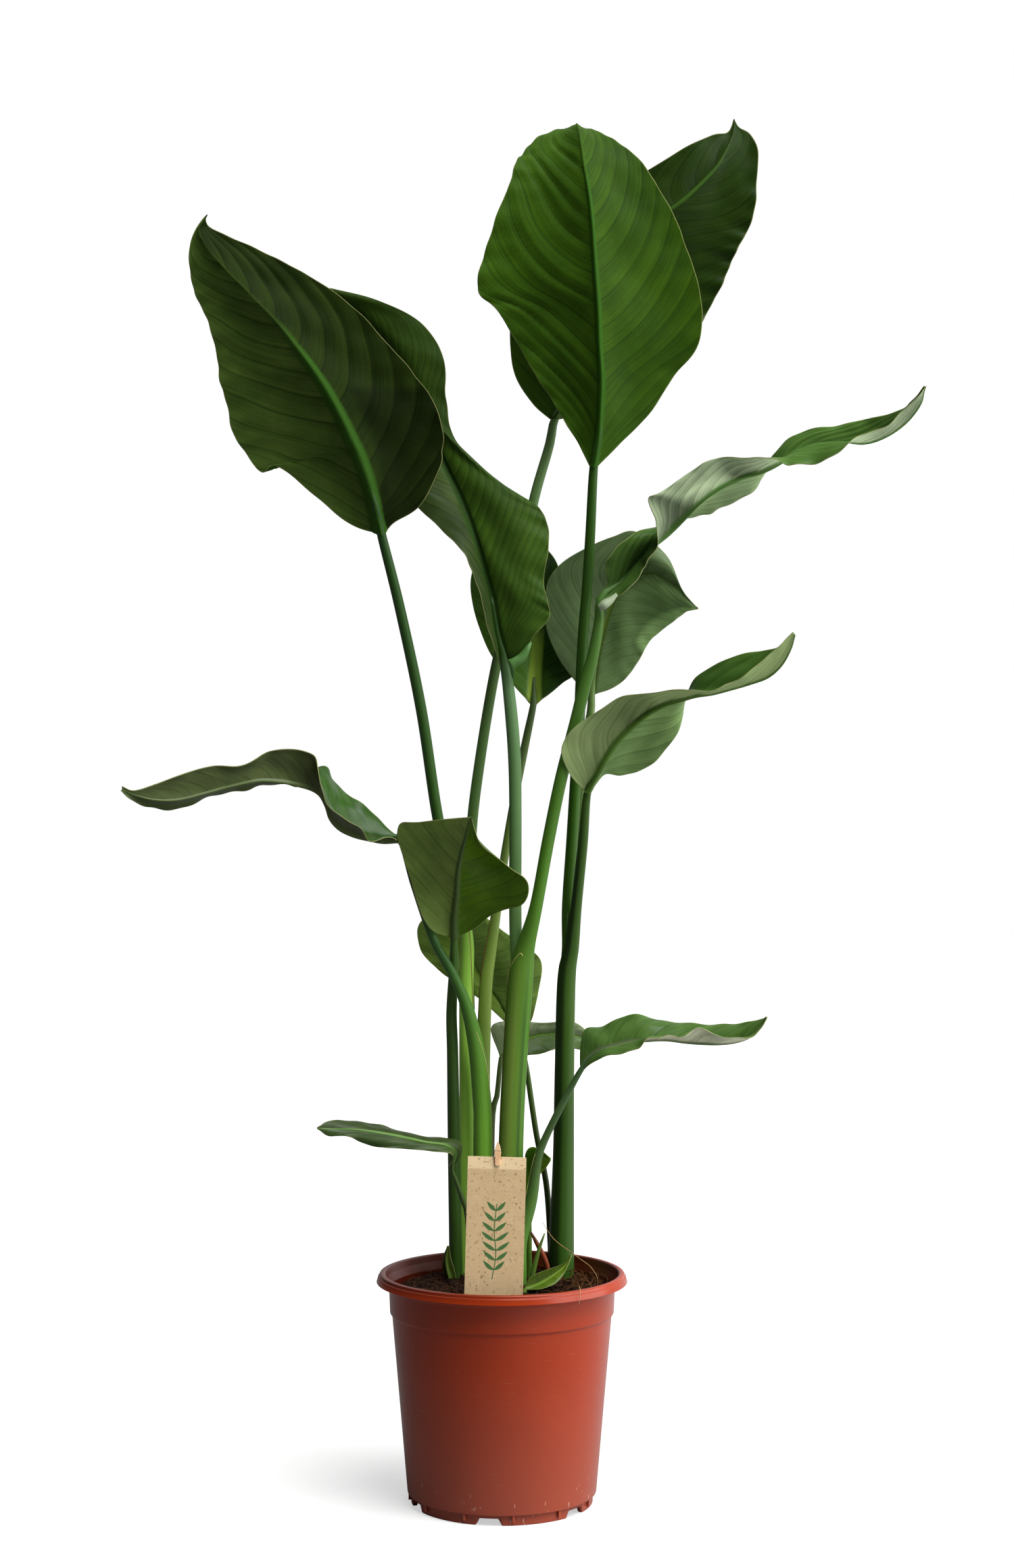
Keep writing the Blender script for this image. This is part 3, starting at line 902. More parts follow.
# Small torn curls of blade at two leaf bases: colour and, for each section, the points on its two edges
CURLS = {
    "curl_left_inner": ("#43702c", [
        ((27.6, 13, 822.2), (28.9, 13, 820.2)), ((23.7, 12, 818.2), (26.9, 10, 813.7)),
        ((19.8, 13, 813.7), (24.4, 9, 807.2)), ((15.2, 12, 809.1), (20.4, 10, 801.3)),
        ((9.4, 13, 805.9), (14, 9, 797.5)), ((5.5, 14, 804), (12, 11, 793.6)),
        ((7.5, 15, 796.9), (12, 13, 789.1)), ((9.4, 16, 788.5), (11.4, 15, 784))]),
    "curl_right_long": ("#8c9c7c", [
        ((108.9, -2, 867.9), (110.8, -3, 865.3)), ((103.1, -3, 864), (105.7, -6, 857.6)),
        ((95.3, -4, 860.1), (99.9, -8, 852.4)), ((91.5, -4, 855.6), (94, -6, 849.8))]),
}
CURL_THICKNESS = 0.7


def curl_mesh(name, sections, material):
    """A thin scrap of blade between two edges, closed all round."""
    a, b = (catmull([edges[k] for edges in sections], 4 * len(sections)) for k in (0, 1))
    lift = np.array([0, CURL_THICKNESS / 2, 0])
    rings = np.stack([a - lift, b - lift, b + lift, a + lift], 1)
    flip = bool(np.cross(b[0] - a[0], lift) @ (a[-1] - a[0]) < 0)
    ends = [tuple(range(4))[::-1], tuple(range(4 * len(a) - 4, 4 * len(a)))]
    faces = quads(len(a), 4, wrap=True, flip=flip) + [f[::-1] if flip else f for f in ends]
    return mesh_of(name, rings.reshape(-1, 3), faces, material)


def on_stem(name, z, turn):
    """A point on a stalk's skin at height z; turn is a share of a full turn, from the right by the back."""
    line = even_line(LEAVES[name]["stalk"], 200)[0]
    x, y, r = (np.interp(z, line[:, 2], line[:, k]) for k in (0, 1, 3))
    return x + r * math.cos(2 * math.pi * turn), y + r * math.sin(2 * math.pi * turn), z


# Papery edges of the leaf sheaths that wrap the stalks: colour and, for each edge, stalk and (height, turn)
SHEATH_EDGES = {
    "sheath_edges_pale": ("#b4b56c", 0.4, [
        ("leaf_left_long", [(446, 0.82), (430, 0.88), (412, 0.93), (396, 0.95), (380, 0.97)]),
        ("leaf_right_long", [(492, 0.5), (502, 0.52), (512, 0.58), (519, 0.64), (522, 0.69), (519, 0.73)]),
        ("leaf_right_low", [(330, 0.58), (322, 0.56), (300, 0.54), (270, 0.55)])]),
    "sheath_edges_brown": ("#7d4a2e", 0.4, [
        ("leaf_left_top", [(560, 0.8), (541, 0.84), (500, 0.88), (461, 0.93), (440, 0.96)]),
        ("leaf_centre_back", [(560, 0.6), (541, 0.58), (500, 0.56), (461, 0.55), (430, 0.55)]),
        ("leaf_left_long", [(378, 0.97), (360, 0.97), (335, 0.98), (300, 0.99)])]),
    "sheath_edges_dull": ("#52713c", 0.35, [
        ("leaf_centre_top", [(560, 0.75), (500, 0.74), (440, 0.73), (400, 0.73)])]),
}


# Pot
def arc_corner(before, corner, after, radius, steps=4):
    """The points that round one corner of a section."""
    a, b, c = (np.asarray(p, float) for p in (before, corner, after))
    into, out = unit(a - b), unit(c - b)
    half = math.acos(max(-1.0, min(1.0, float(into @ out)))) / 2
    if radius <= 0 or half > math.pi / 2 - 0.02:
        return [b]
    reach = min(radius / math.tan(half), 0.48 * np.linalg.norm(a - b), 0.48 * np.linalg.norm(c - b))
    start, end = b + into * reach, b + out * reach
    share = np.linspace(0, 1, steps + 1)[:, None]
    return list((1 - share) ** 2 * start + 2 * share * (1 - share) * b + share**2 * end)


def rounded_section(corners):
    """A section whose corners, given as radius, height and rounding, are rounded."""
    out = []
    for i, (r, z, round_by) in enumerate(corners):
        before, after = corners[max(i - 1, 0)], corners[min(i + 1, len(corners) - 1)]
        if i in (0, len(corners) - 1):
            out.append(np.array([r, z], float))
        else:
            out += arc_corner(before[:2], (r, z), after[:2], round_by)
    return np.array(out)


def turned_faces(rows, around):
    """Faces of rings of points, closed by a fan at each end; the two middle points follow the rings."""
    faces = quads(rows, around, wrap=True)
    first, last, end = rows * around, rows * around + 1, (rows - 1) * around
    for j in range(around):
        k = (j + 1) % around
        faces.append((first, k, j))
        faces.append((last, end + j, end + k))
    return faces


def turned(section, around, lift):
    """Points and faces of a section turned about the Z axis; its first and last points lie on it, and lift
    gives each point's height from its radius, height and angle."""
    angle = np.arange(around) / around * 2 * math.pi
    r, z = section[1:-1, 0], section[1:-1, 1]
    grid = np.stack([r[:, None] * np.sin(angle), -r[:, None] * np.cos(angle),
                     np.broadcast_to(z[:, None], (len(r), around)).copy()], -1)
    grid[..., 2] = lift(r[:, None], z[:, None], angle[None])
    points = np.concatenate([grid.reshape(-1, 3), [[0, 0, section[0, 1]], [0, 0, section[-1, 1]]]])
    return points, turned_faces(len(r), around)


FOOT_R, WALL_FOOT_R, WALL_TOP_R, COLLAR_R, OPENING_R = 86.7, 90.2, 105.0, 108.0, 111.5
FOOT_H, STEP_Z, BASE_Z, PAD_R, WALL = 9.7, 180.0, 7.5, 20.0, 1.5
INNER_FOOT_Z = 12.0
COLLAR_TOP_Z, RIM_UNDER_Z, RIM_EDGE_Z, RIM_SIDE_TOP_Z = 205.0, 212.8, 209.7, 215.5
NOTCH_COUNT, NOTCH_FIRST_DEG, NOTCH_INNER_R = 6, -8.0, 79.0
NOTCH_HALF_MM, NOTCH_TOP_HALF_MM, NOTCH_HEIGHT_MM = 12.5, 9.0, 6.6
HOLE_COUNT, HOLE_FIRST_DEG, HOLE_CIRCLE_R, HOLE_R, HOLE_FACETS = 6, 22.0, 58.0, 6.0, 24
HOLE_SPAN_Z = (4.0, 12.0)  # the cutter's height, more than the base plate's
RIB_COUNT, RIB_FIRST_DEG, RIB_CENTRE_Z, RIB_OUT = 12, 7.0, 6.6, 1.2
RIB_SIZE = (2.0, 3.4, 6.4)


def wall_radius(z):
    """The tapered wall's outer radius at height z."""
    return WALL_FOOT_R + (WALL_TOP_R - WALL_FOOT_R) * (z - FOOT_H) / (STEP_Z - 1 - FOOT_H)


def notch_lift(r, z, angle):
    """Heights of the pot's points, with the foot ring cut up into drainage notches."""
    step = 2 * math.pi / NOTCH_COUNT
    off = (angle - math.radians(NOTCH_FIRST_DEG) + step / 2) % step - step / 2
    arc = np.abs(off) * FOOT_R
    rise = np.clip((NOTCH_HALF_MM - arc) / (NOTCH_HALF_MM - NOTCH_TOP_HALF_MM), 0, 1) * NOTCH_HEIGHT_MM
    return np.where(r > NOTCH_INNER_R, np.maximum(z, rise), z + 0 * angle)


def pot_section(rim_r, rim_top):
    """The pot's section, from the pad in the middle of its base, up the outside and down the inside."""
    inner_foot = wall_radius(INNER_FOOT_Z) - WALL
    inner_base = BASE_Z + WALL + 0.3
    return rounded_section([
        (0, 0, 0), (PAD_R - 2, 0, 0.5), (PAD_R, 2, 0.8), (PAD_R, BASE_Z, 0.6), (FOOT_R - 6, BASE_Z, 0.6),
        (FOOT_R - 4, 0, 0.7), (FOOT_R, 0, 0.7), (FOOT_R + 0.5, FOOT_H, 0.3), (WALL_FOOT_R, FOOT_H, 1.2),
        (WALL_TOP_R, STEP_Z - 1, 0.8), (COLLAR_R - 1, STEP_Z + 1, 0.8), (COLLAR_R, COLLAR_TOP_Z, 3.0),
        (COLLAR_R + 3.4, RIM_UNDER_Z - 0.2, 1.0), (rim_r - 2.4, RIM_UNDER_Z, 0.8),
        (rim_r - 1.5, RIM_EDGE_Z + 0.2, 0.2), (rim_r - 0.1, RIM_EDGE_Z, 0.3),
        (rim_r - 1.6, RIM_SIDE_TOP_Z - 0.5, 0.8), (rim_r - 2.6, RIM_SIDE_TOP_Z, 0.4),
        (rim_r - 3.2, rim_top - 0.7, 1.0), (rim_r - 4.6, rim_top, 1.0), (OPENING_R + 1.4, rim_top, 0.8),
        (OPENING_R, rim_top - 0.8, 0.6), (OPENING_R - 1.4, RIM_UNDER_Z - 0.8, 3.0),
        (COLLAR_R - WALL, COLLAR_TOP_Z - 0.5, 3.0), (COLLAR_R - 1 - WALL, STEP_Z + 2, 0.6),
        (WALL_TOP_R - WALL, STEP_Z - 1.5, 0.6), (inner_foot, INNER_FOOT_Z, 2.0),
        (inner_foot - 3, inner_base, 1.5), (0, inner_base, 0)])


def mark_stains(mesh, rim_top):
    """Marks where potting soil has rubbed off: all over the inside, and on the rim, more at its left."""
    flat = np.empty(3 * len(mesh.vertices))
    mesh.vertices.foreach_get("co", flat)
    x, y, z = flat.reshape(-1, 3).T / MM
    mesh.vertices.foreach_get("normal", flat)
    radial = (flat.reshape(-1, 3) * np.stack([x, y, 0 * z], 1)).sum(1) / np.maximum(np.hypot(x, y), 1)
    inside = np.clip(-radial * 2, 0, 1) * (z > STEP_Z)
    lip = np.clip((z - rim_top + 8) / 6, 0, 1) * np.clip(0.45 - x / 200, 0, 1)
    mesh.attributes.new("stain", "FLOAT", "POINT").data.foreach_set("value", np.maximum(inside, lip))


def mesh_of(name, points, faces, material, smooth=True):
    """A mesh of one material from points in millimetres."""
    mesh = bpy.data.meshes.new(name)
    faces = [tuple(int(k) for k in face) for face in faces]
    mesh.from_pydata([tuple(p) for p in np.asarray(points, float) * MM], [], faces)
    mesh.materials.append(material)
    if smooth:
        mesh.polygons.foreach_set("use_smooth", [True] * len(mesh.polygons))
    mesh.update()
    return mesh


def geometry_tree(name, sockets):
    """An empty geometry node group with named inputs; sockets maps each name to its type and default."""
    tree = bpy.data.node_groups.new(name, "GeometryNodeTree")
    tree.interface.new_socket("Geometry", in_out="INPUT", socket_type="NodeSocketGeometry")
    for label, (kind, default) in sockets.items():
        socket = tree.interface.new_socket(label, in_out="INPUT", socket_type=kind)
        socket.default_value = default
    tree.interface.new_socket("Geometry", in_out="OUTPUT", socket_type="NodeSocketGeometry")
    return tree, tree.nodes.new("NodeGroupInput"), tree.nodes.new("NodeGroupOutput")


def evaluated_mesh(name, carrier_mesh, tree):
    """The plain mesh that a node tree makes on a carrier mesh, with its inputs at their defaults."""
    carrier = bpy.data.objects.new(name + "_carrier", carrier_mesh)
    bpy.context.scene.collection.objects.link(carrier)
    modifier = carrier.modifiers.new("nodes", "NODES")
    modifier.node_group = tree
    depsgraph = bpy.context.evaluated_depsgraph_get()
    mesh = bpy.data.meshes.new_from_object(carrier.evaluated_get(depsgraph))
    mesh.name = name
    bpy.data.objects.remove(carrier)
    if not mesh.polygons:
        raise RuntimeError(f"{name}: the node tree made nothing")
    return mesh


def finish_tree(tree, geometry, material, out):
    """Ends a tree in real geometry with its material."""
    real = add_node(tree, "GeometryNodeRealizeInstances", {0: geometry}).outputs[0]
    done = add_node(tree, "GeometryNodeSetMaterial", {"Geometry": real, "Material": material}).outputs[0]
    tree.links.new(done, out.inputs[0])


def ribs_mesh(material):
    """The small ribs between foot ring and wall, spaced evenly round the pot."""
    tree, start, out = geometry_tree("pot ribs", {
        "Count": ("NodeSocketInt", RIB_COUNT), "Radius": ("NodeSocketFloat", (FOOT_R + RIB_OUT) * MM),
        "First angle": ("NodeSocketFloat", math.radians(RIB_FIRST_DEG))})
    count, radius, first = (start.outputs[key] for key in ("Count", "Radius", "First angle"))
    block = add_node(tree, "GeometryNodeMeshCube", {"Size": Vector(RIB_SIZE) * MM}).outputs[0]
    ring = add_node(tree, "GeometryNodeMeshLine", {"Count": count, "Offset": (0, 0, 0)}).outputs[0]
    index = add_node(tree, "GeometryNodeInputIndex").outputs[0]
    share = add_node(tree, "ShaderNodeMath", {0: index, 1: count}, operation="DIVIDE").outputs[0]
    angle = add_node(tree, "ShaderNodeMath", {0: share, 1: 2 * math.pi, 2: first},
                     operation="MULTIPLY_ADD").outputs[0]
    back = add_node(tree, "ShaderNodeMath", {0: radius, 1: -1.0}, operation="MULTIPLY").outputs[0]
    sides = []
    for way, reach in (("SINE", radius), ("COSINE", back)):
        swing = add_node(tree, "ShaderNodeMath", {0: angle}, operation=way).outputs[0]
        sides.append(add_node(tree, "ShaderNodeMath", {0: swing, 1: reach}, operation="MULTIPLY").outputs[0])
    spot = add_node(tree, "ShaderNodeCombineXYZ", {
        "X": sides[0], "Y": sides[1], "Z": RIB_CENTRE_Z * MM}).outputs[0]
    moved = add_node(tree, "GeometryNodeSetPosition", {"Geometry": ring, "Position": spot}).outputs[0]
    turn = add_node(tree, "ShaderNodeCombineXYZ", {"Z": angle}).outputs[0]
    spread = add_node(tree, "GeometryNodeInstanceOnPoints", {"Points": moved, "Instance": block,
                                                             "Rotation": turn}).outputs[0]
    finish_tree(tree, spread, material, out)
    return evaluated_mesh("pot_foot_ribs", bpy.data.meshes.new("rib_seed"), tree)


def drain_holes_mesh(material):
    """The round bars that the drain holes are cut with."""
    points, faces = [], []
    for i in range(HOLE_COUNT):
        turn = math.radians(HOLE_FIRST_DEG + 360 / HOLE_COUNT * i)
        x, y = HOLE_CIRCLE_R * math.sin(turn), -HOLE_CIRCLE_R * math.cos(turn)
        first, upper = len(points), len(points) + HOLE_FACETS
        points += [(x + HOLE_R * math.cos(b), y + HOLE_R * math.sin(b), z) for z in HOLE_SPAN_Z
                   for b in np.arange(HOLE_FACETS) / HOLE_FACETS * 2 * math.pi]
        faces += quads(2, HOLE_FACETS, offset=first, wrap=True)
        faces += [tuple(range(first, upper))[::-1], tuple(range(upper, upper + HOLE_FACETS))]
    return mesh_of("drain_holes", points, faces, material)


def cut(mesh_a, cutter_mesh, name):
    """mesh_a with cutter_mesh taken out of it."""
    a, b = (bpy.data.objects.new(n, m) for n, m in ((name, mesh_a), (name + "_cutter", cutter_mesh)))
    for o in (a, b):
        bpy.context.scene.collection.objects.link(o)
    modifier = a.modifiers.new("cut", "BOOLEAN")
    modifier.operation, modifier.object, modifier.solver = "DIFFERENCE", b, "EXACT"
    made = bpy.data.meshes.new_from_object(a.evaluated_get(bpy.context.evaluated_depsgraph_get()))
    for o in (a, b):
        bpy.data.objects.remove(o)
    return made


# Soil
SOIL_EDGE_Z, SOIL_TOP_Z, SOIL_RISE = 197.0, 203.0, 0.05
SOIL_EDGE_R = 106.0
MOUND_R, MOUND_Z = (0, 30, 60, 92, SOIL_EDGE_R), (SOIL_TOP_Z, SOIL_TOP_Z - 0.5, 201.5, 199.5, SOIL_EDGE_Z)
LUMP_SPACING, CRUMB_SPACING = 22, 3.2
SOIL_SIDE_TOP_Z, SOIL_GAP = 193.0, 0.4
SOIL_RINGS, SOIL_AROUND, PATCH_R, PATCH_STEP = 70, 200, 103.0, 3.0


def soil_height(x, y):
    """Height of the soil's surface: a low mound, rising to the back, with crumbly unevenness."""
    r = math.hypot(x, y)
    mound = np.interp(r, MOUND_R, MOUND_Z)
    rough = noise.fractal(Vector((x / LUMP_SPACING, y / LUMP_SPACING, 3.1)), 0.9, 2.1, 5)
    crumbs = noise.noise(Vector((x / CRUMB_SPACING, y / CRUMB_SPACING, 7.7)))
    fade = min(1.0, max(0.0, (SOIL_EDGE_R - r) / 6))
    return mound + SOIL_RISE * y + (1.9 * rough + 0.8 * crumbs) * fade


def soil_points():
    """Points and faces of the soil: its side follows the pot's wall inside, and its top is uneven."""
    clear = WALL + SOIL_GAP
    edge = COLLAR_R - 0.4 - clear
    side = [(wall_radius(INNER_FOOT_Z) - clear - 3.4, BASE_Z + WALL + 0.7),
            (wall_radius(INNER_FOOT_Z) - clear, INNER_FOOT_Z + 1), (WALL_TOP_R - clear, STEP_Z - 1.4),
            (COLLAR_R - 1 - clear, STEP_Z + 2.2), (edge, SOIL_SIDE_TOP_Z)]
    round_about = [(math.sin(a), -math.cos(a)) for a in np.arange(SOIL_AROUND) / SOIL_AROUND * 2 * math.pi]
    points = [(r * east, r * north, z) for r, z in side for east, north in round_about]
    for k in range(SOIL_RINGS):
        r = edge * (1 - k / SOIL_RINGS)
        points += [(r * east, r * north, soil_height(r * east, r * north)) for east, north in round_about]
    points += [(0, 0, side[0][1]), (0, 0, soil_height(0, 0))]
    return points, turned_faces(len(side) + SOIL_RINGS, SOIL_AROUND)


def surface_patch(radius, step):
    """The soil's surface alone, a grid that crumbs and fibres are strewn on."""
    n = int(2 * radius / step) + 1
    at = np.linspace(-radius, radius, n)
    points = [(x, y, soil_height(x, y)) for y in at for x in at]
    faces = [f for f in quads(n, n) if all(math.hypot(*points[k][:2]) < radius for k in f)]
    return points, faces


def strewn_mesh(name, patch, thing, density, seed, size, spread, material, flat=0.0):
    """Copies of a small thing strewn over a surface: size and spread are their scale and its range, and
    flat is how far they lie level, from 0 to 1."""
    tree, start, out = geometry_tree(name + " strewn", {
        "Density": ("NodeSocketFloat", density), "Seed": ("NodeSocketInt", seed),
        "Smallest": ("NodeSocketFloat", size - spread), "Largest": ("NodeSocketFloat", size + spread)})
    given = start.outputs
    points = add_node(tree, "GeometryNodeDistributePointsOnFaces", {
        "Mesh": given["Geometry"], "Density": given["Density"], "Seed": given["Seed"]})
    scale = add_node(tree, "FunctionNodeRandomValue", {
        "Min": given["Smallest"], "Max": given["Largest"], "Seed": seed + 1}, data_type="FLOAT")
    tilt = math.pi * (1 - flat)
    turn = add_node(tree, "FunctionNodeRandomValue", {
        "Min": (-tilt, -tilt, -math.pi), "Max": (tilt, tilt, math.pi),
        "Seed": seed + 2}, data_type="FLOAT_VECTOR")
    spread_out = add_node(tree, "GeometryNodeInstanceOnPoints", {
        "Points": points.outputs["Points"], "Instance": thing(tree),
        "Rotation": turn.outputs[0], "Scale": scale.outputs[1]}).outputs[0]
    finish_tree(tree, spread_out, material, out)
    return evaluated_mesh(name, patch.copy(), tree)


def crumb(tree):
    """A lump of peat with an uneven surface, of radius 1 before it is scaled."""
    lump = add_node(tree, "GeometryNodeMeshIcoSphere", {"Radius": 1.0, "Subdivisions": 2}).outputs[0]
    wobble = add_node(tree, "ShaderNodeTexNoise", {"Scale": 1.6}).outputs["Color"]
    centred = add_node(tree, "ShaderNodeVectorMath", {0: wobble, 1: (0.5, 0.5, 0.5)}, operation="SUBTRACT")
    bent = add_node(tree, "ShaderNodeVectorMath", {0: centred.outputs[0], "Scale": 1.6}, operation="SCALE")
    return add_node(tree, "GeometryNodeSetPosition", {"Geometry": lump, "Offset": bent.outputs[0]}).outputs[0]


def coco_fibre(tree):
    """A short bent fibre, 12 long before it is scaled."""
    arc = add_node(tree, "GeometryNodeCurveQuadraticBezier", {
        "Resolution": 6, "Start": (-6.0, 0, 0), "Middle": (0, 3.0, 3.4), "End": (6.0, -1.0, 0.4)}).outputs[0]
    section = add_node(tree, "GeometryNodeCurvePrimitiveCircle", {"Resolution": 4, "Radius": 0.16}).outputs[0]
    return add_node(tree, "GeometryNodeCurveToMesh", {"Curve": arc, "Profile Curve": section,
                                                      "Fill Caps": True}).outputs[0]


def thread_mesh(name, paths, radius, material):
    """Thin roots and threads along given paths."""
    mesh = bpy.data.meshes.new(name + "_path")
    points, edges = [], []
    for path in paths:
        line = even_line(path, 24)[0] * MM
        edges += [(len(points) + k, len(points) + k + 1) for k in range(len(line) - 1)]
        points += [tuple(p) for p in line]
    mesh.from_pydata(points, edges, [])
    tree, start, out = geometry_tree(name + " threads", {"Radius": ("NodeSocketFloat", radius * MM)})
    curve = add_node(tree, "GeometryNodeMeshToCurve", {0: start.outputs["Geometry"]}).outputs[0]
    section = add_node(tree, "GeometryNodeCurvePrimitiveCircle", {
        "Resolution": 6, "Radius": start.outputs["Radius"]}).outputs[0]
    tube = add_node(tree, "GeometryNodeCurveToMesh", {"Curve": curve, "Profile Curve": section,
                                                      "Fill Caps": True}).outputs[0]
    finish_tree(tree, tube, material, out)
    return evaluated_mesh(name, mesh, tree)


# Fine roots that hang over the soil, in millimetres
ROOT_PATHS = [
    [(39, 22, 262), (50, 20, 246), (66, 19, 234), (77, 18, 226), (84, 18, 221), (89, 16, 215), (92, 14, 209),
     (92, 10, 199)],
    [(70, -50, 200), (71, -66, 212), (71.5, -84, 221), (72, -96, 219.4), (72, -98, 214), (71, -98, 207)],
]
THREAD_R = 0.28
TANGLE_COUNT, TANGLE_OUTER_R = 46, 102
TANGLE_X, TANGLE_Y = (66, 94), (-30, 44)


def tangle_paths(seed):
    """Loose loops of coco fibre at the right of the pot."""
    rng = np.random.default_rng(seed)
    paths = []
    for _ in range(TANGLE_COUNT):
        x, y = rng.uniform(*TANGLE_X), rng.uniform(*TANGLE_Y)
        turn, reach = rng.uniform(0, 2 * math.pi), rng.uniform(7, 16)
        dx, dy = reach * math.cos(turn), reach * math.sin(turn)
        ends = [(x - dx, y - dy), (x + dx, y + dy)]
        if max(math.hypot(*e) for e in ends) > TANGLE_OUTER_R:
            continue
        low = [soil_height(*e) - 1 for e in ends]
        high = max(low) + rng.uniform(3, 13)
        bend = rng.uniform(-6, 6, 2)
        paths.append([(*ends[0], low[0]), (x - dx / 2 + bend[0], y - dy / 2, high - 2),
                      (x + bend[1], y + bend[0], high), (*ends[1], low[1])])
    return paths


# Tag and peg
CARD_W, CARD_T, CARD_TOP_Z, CARD_FOOT_Z, CARD_Y, CARD_FOOT_X = 54.0, 0.8, 341.0, 176.0, -88.0, -8.5
CARD_LEAN_DEG, CREASE, CREASE_BACK_DEG = 1.5, 11.0, 7.0
PEG_H, PEG_W, PEG_T, PEG_FOOT, PEG_X = 21.5, 6.2, 2.1, 8.0, -4.0
COIL_R, COIL_TURNS, COIL_STEPS, WIRE_R = 1.4, 4, 14, 0.3
COIL_Z = PEG_FOOT + 4
SPRIG_STEM = [(-2, 52), (1, 75), (-1, 98), (1, 122)]  # across the card, and up from its foot
SPRIG_PAIRS, SPRIG_STEM_W, SPRIG_LEAF_W, SPRIG_LEAF_RISE = 7, 0.9, 3.6, 8
INK_RISE, INK_DEPTH = 0.06, 0.2


def turn_matrix(x_deg, y_deg):
    """A turn about Y, then one about X."""
    ax, ay = math.radians(x_deg), math.radians(y_deg)
    rx = np.array([[1, 0, 0], [0, math.cos(ax), -math.sin(ax)], [0, math.sin(ax), math.cos(ax)]])
    ry = np.array([[math.cos(ay), 0, math.sin(ay)], [0, 1, 0], [-math.sin(ay), 0, math.cos(ay)]])
    return rx @ ry


def on_card(x, z, lift=0.0):
    """A point on the card's front face: x and z from the middle of its foot, lift off the face."""
    flat = CARD_TOP_Z - CARD_FOOT_Z - CREASE
    back = math.radians(CREASE_BACK_DEG)
    over = max(0.0, z - flat)
    local = np.array([x, -CARD_T / 2 - lift + over * math.sin(back), min(z, flat) + over * math.cos(back)])
    return turn_matrix(0, CARD_LEAN_DEG) @ local + np.array([CARD_FOOT_X, CARD_Y, CARD_FOOT_Z])


def card_mesh(material):
    """The card, with a soft crease near its top and slightly rounded edges."""
    flat = CARD_TOP_Z - CARD_FOOT_Z - CREASE
    heights = [0, flat - 1.2, flat - 0.4, flat + 0.4, flat + 1.2, flat + CREASE]
    across = np.linspace(-CARD_W / 2, CARD_W / 2, 9)
    points = [on_card(x, z, lift) for lift in (0.0, -CARD_T) for z in heights for x in across]
    rows, cols = len(heights), len(across)
    faces = quads(rows, cols) + quads(rows, cols, offset=rows * cols, flip=True)
    faces += rim_faces(rows, cols, 0, True)
    return mesh_of("tag_card_finished", points, faces, material, smooth=False)


def print_mesh(material):
    """A plain printed sprig, up the card's middle: a stem with pairs of leaves."""
    points, faces = [], []

    def strip(line, widths):
        line = np.asarray(line, float)
        d = unit(np.gradient(line, axis=0))
        off = np.stack([-d[:, 1], d[:, 0]], 1) * np.asarray(widths)[:, None] / 2
        first, count = len(points), len(line)
        for a, b in zip(line - off, line + off):
            corners = (a, INK_RISE), (b, INK_RISE), (b, -INK_DEPTH), (a, -INK_DEPTH)
            points.extend(on_card(*spot, lift) for spot, lift in corners)
        faces.extend(quads(count, 4, offset=first, wrap=True, flip=True))
        faces.append(tuple(range(first, first + 4)))
        faces.append(tuple(range(first + 4 * count - 4, first + 4 * count))[::-1])

    stem = catmull(SPRIG_STEM, 3 * (SPRIG_PAIRS + 1))
    strip(stem, np.full(len(stem), SPRIG_STEM_W))
    share = np.linspace(0, 1, 9)
    for k in range(SPRIG_PAIRS):
        at = stem[3 * (k + 1)]
        reach = 13 - abs(k - 2.5) * 1.3
        for side in (-1, 1):
            line = np.stack([at[0] + side * reach * share, at[1] + SPRIG_LEAF_RISE * share**1.4], 1)
            strip(line, SPRIG_LEAF_W * np.sin(np.pi * np.clip(share, 0.02, 0.98)) ** 0.8)
    return mesh_of("tag_printed_sprig", points, faces, material, smooth=False)


def peg_place(points):
    """From the peg's own frame to the object's."""
    turn = turn_matrix(-CREASE_BACK_DEG, CARD_LEAN_DEG)
    return np.asarray(points, float) @ turn.T + np.array([PEG_X, CARD_Y + 0.7, CARD_TOP_Z - PEG_FOOT])


def leg_mesh(side, material):
    """One leg of the peg: tapered at the top, narrower where it grips, notched inside for the coil."""
    heights = np.array([0.0, 0.5, 1.2, 4, PEG_FOOT - 0.6, COIL_Z - 2.8, COIL_Z - 1.4, COIL_Z - 0.8, COIL_Z,
                        COIL_Z + 0.8, COIL_Z + 1.6, PEG_H - 8.5, PEG_H - 5, PEG_H - 2.4, PEG_H - 1,
                        PEG_H - 0.2])
    half = PEG_W / 2 * np.interp(
        heights, [0, 0.5, 1.2, PEG_FOOT, PEG_FOOT + 3, PEG_H - 9, PEG_H - 5, PEG_H - 1, PEG_H],
        [0.5, 0.7, 0.8, 0.8, 1, 1, 0.72, 0.26, 0.12])
    inner = CARD_T / 2 + 0.4
    notch = np.sqrt(np.clip((COIL_R + 0.3) ** 2 - (heights - COIL_Z) ** 2, 0, None))
    rings = []
    for z, h, n in zip(heights, half, notch):
        near, far = max(inner, n), inner + PEG_T
        soft = min(0.35, h * 0.3)
        ring = [(-h, far - soft), (-h + soft, far), (h - soft, far), (h, far - soft), (h, near), (-h, near)]
        rings.append([(x, side * y, z) for x, y in ring])
    points = [p for r in rings for p in r]
    faces = quads(len(rings), 6, wrap=True, flip=side > 0)
    ends = [tuple(range(6)), tuple(range((len(rings) - 1) * 6, len(rings) * 6))[::-1]]
    faces += [e[::-1] if side < 0 else e for e in ends]
    name = "peg_front_leg" if side < 0 else "peg_back_leg"
    return mesh_of(name + "_finished", peg_place(points), faces, material, smooth=False)


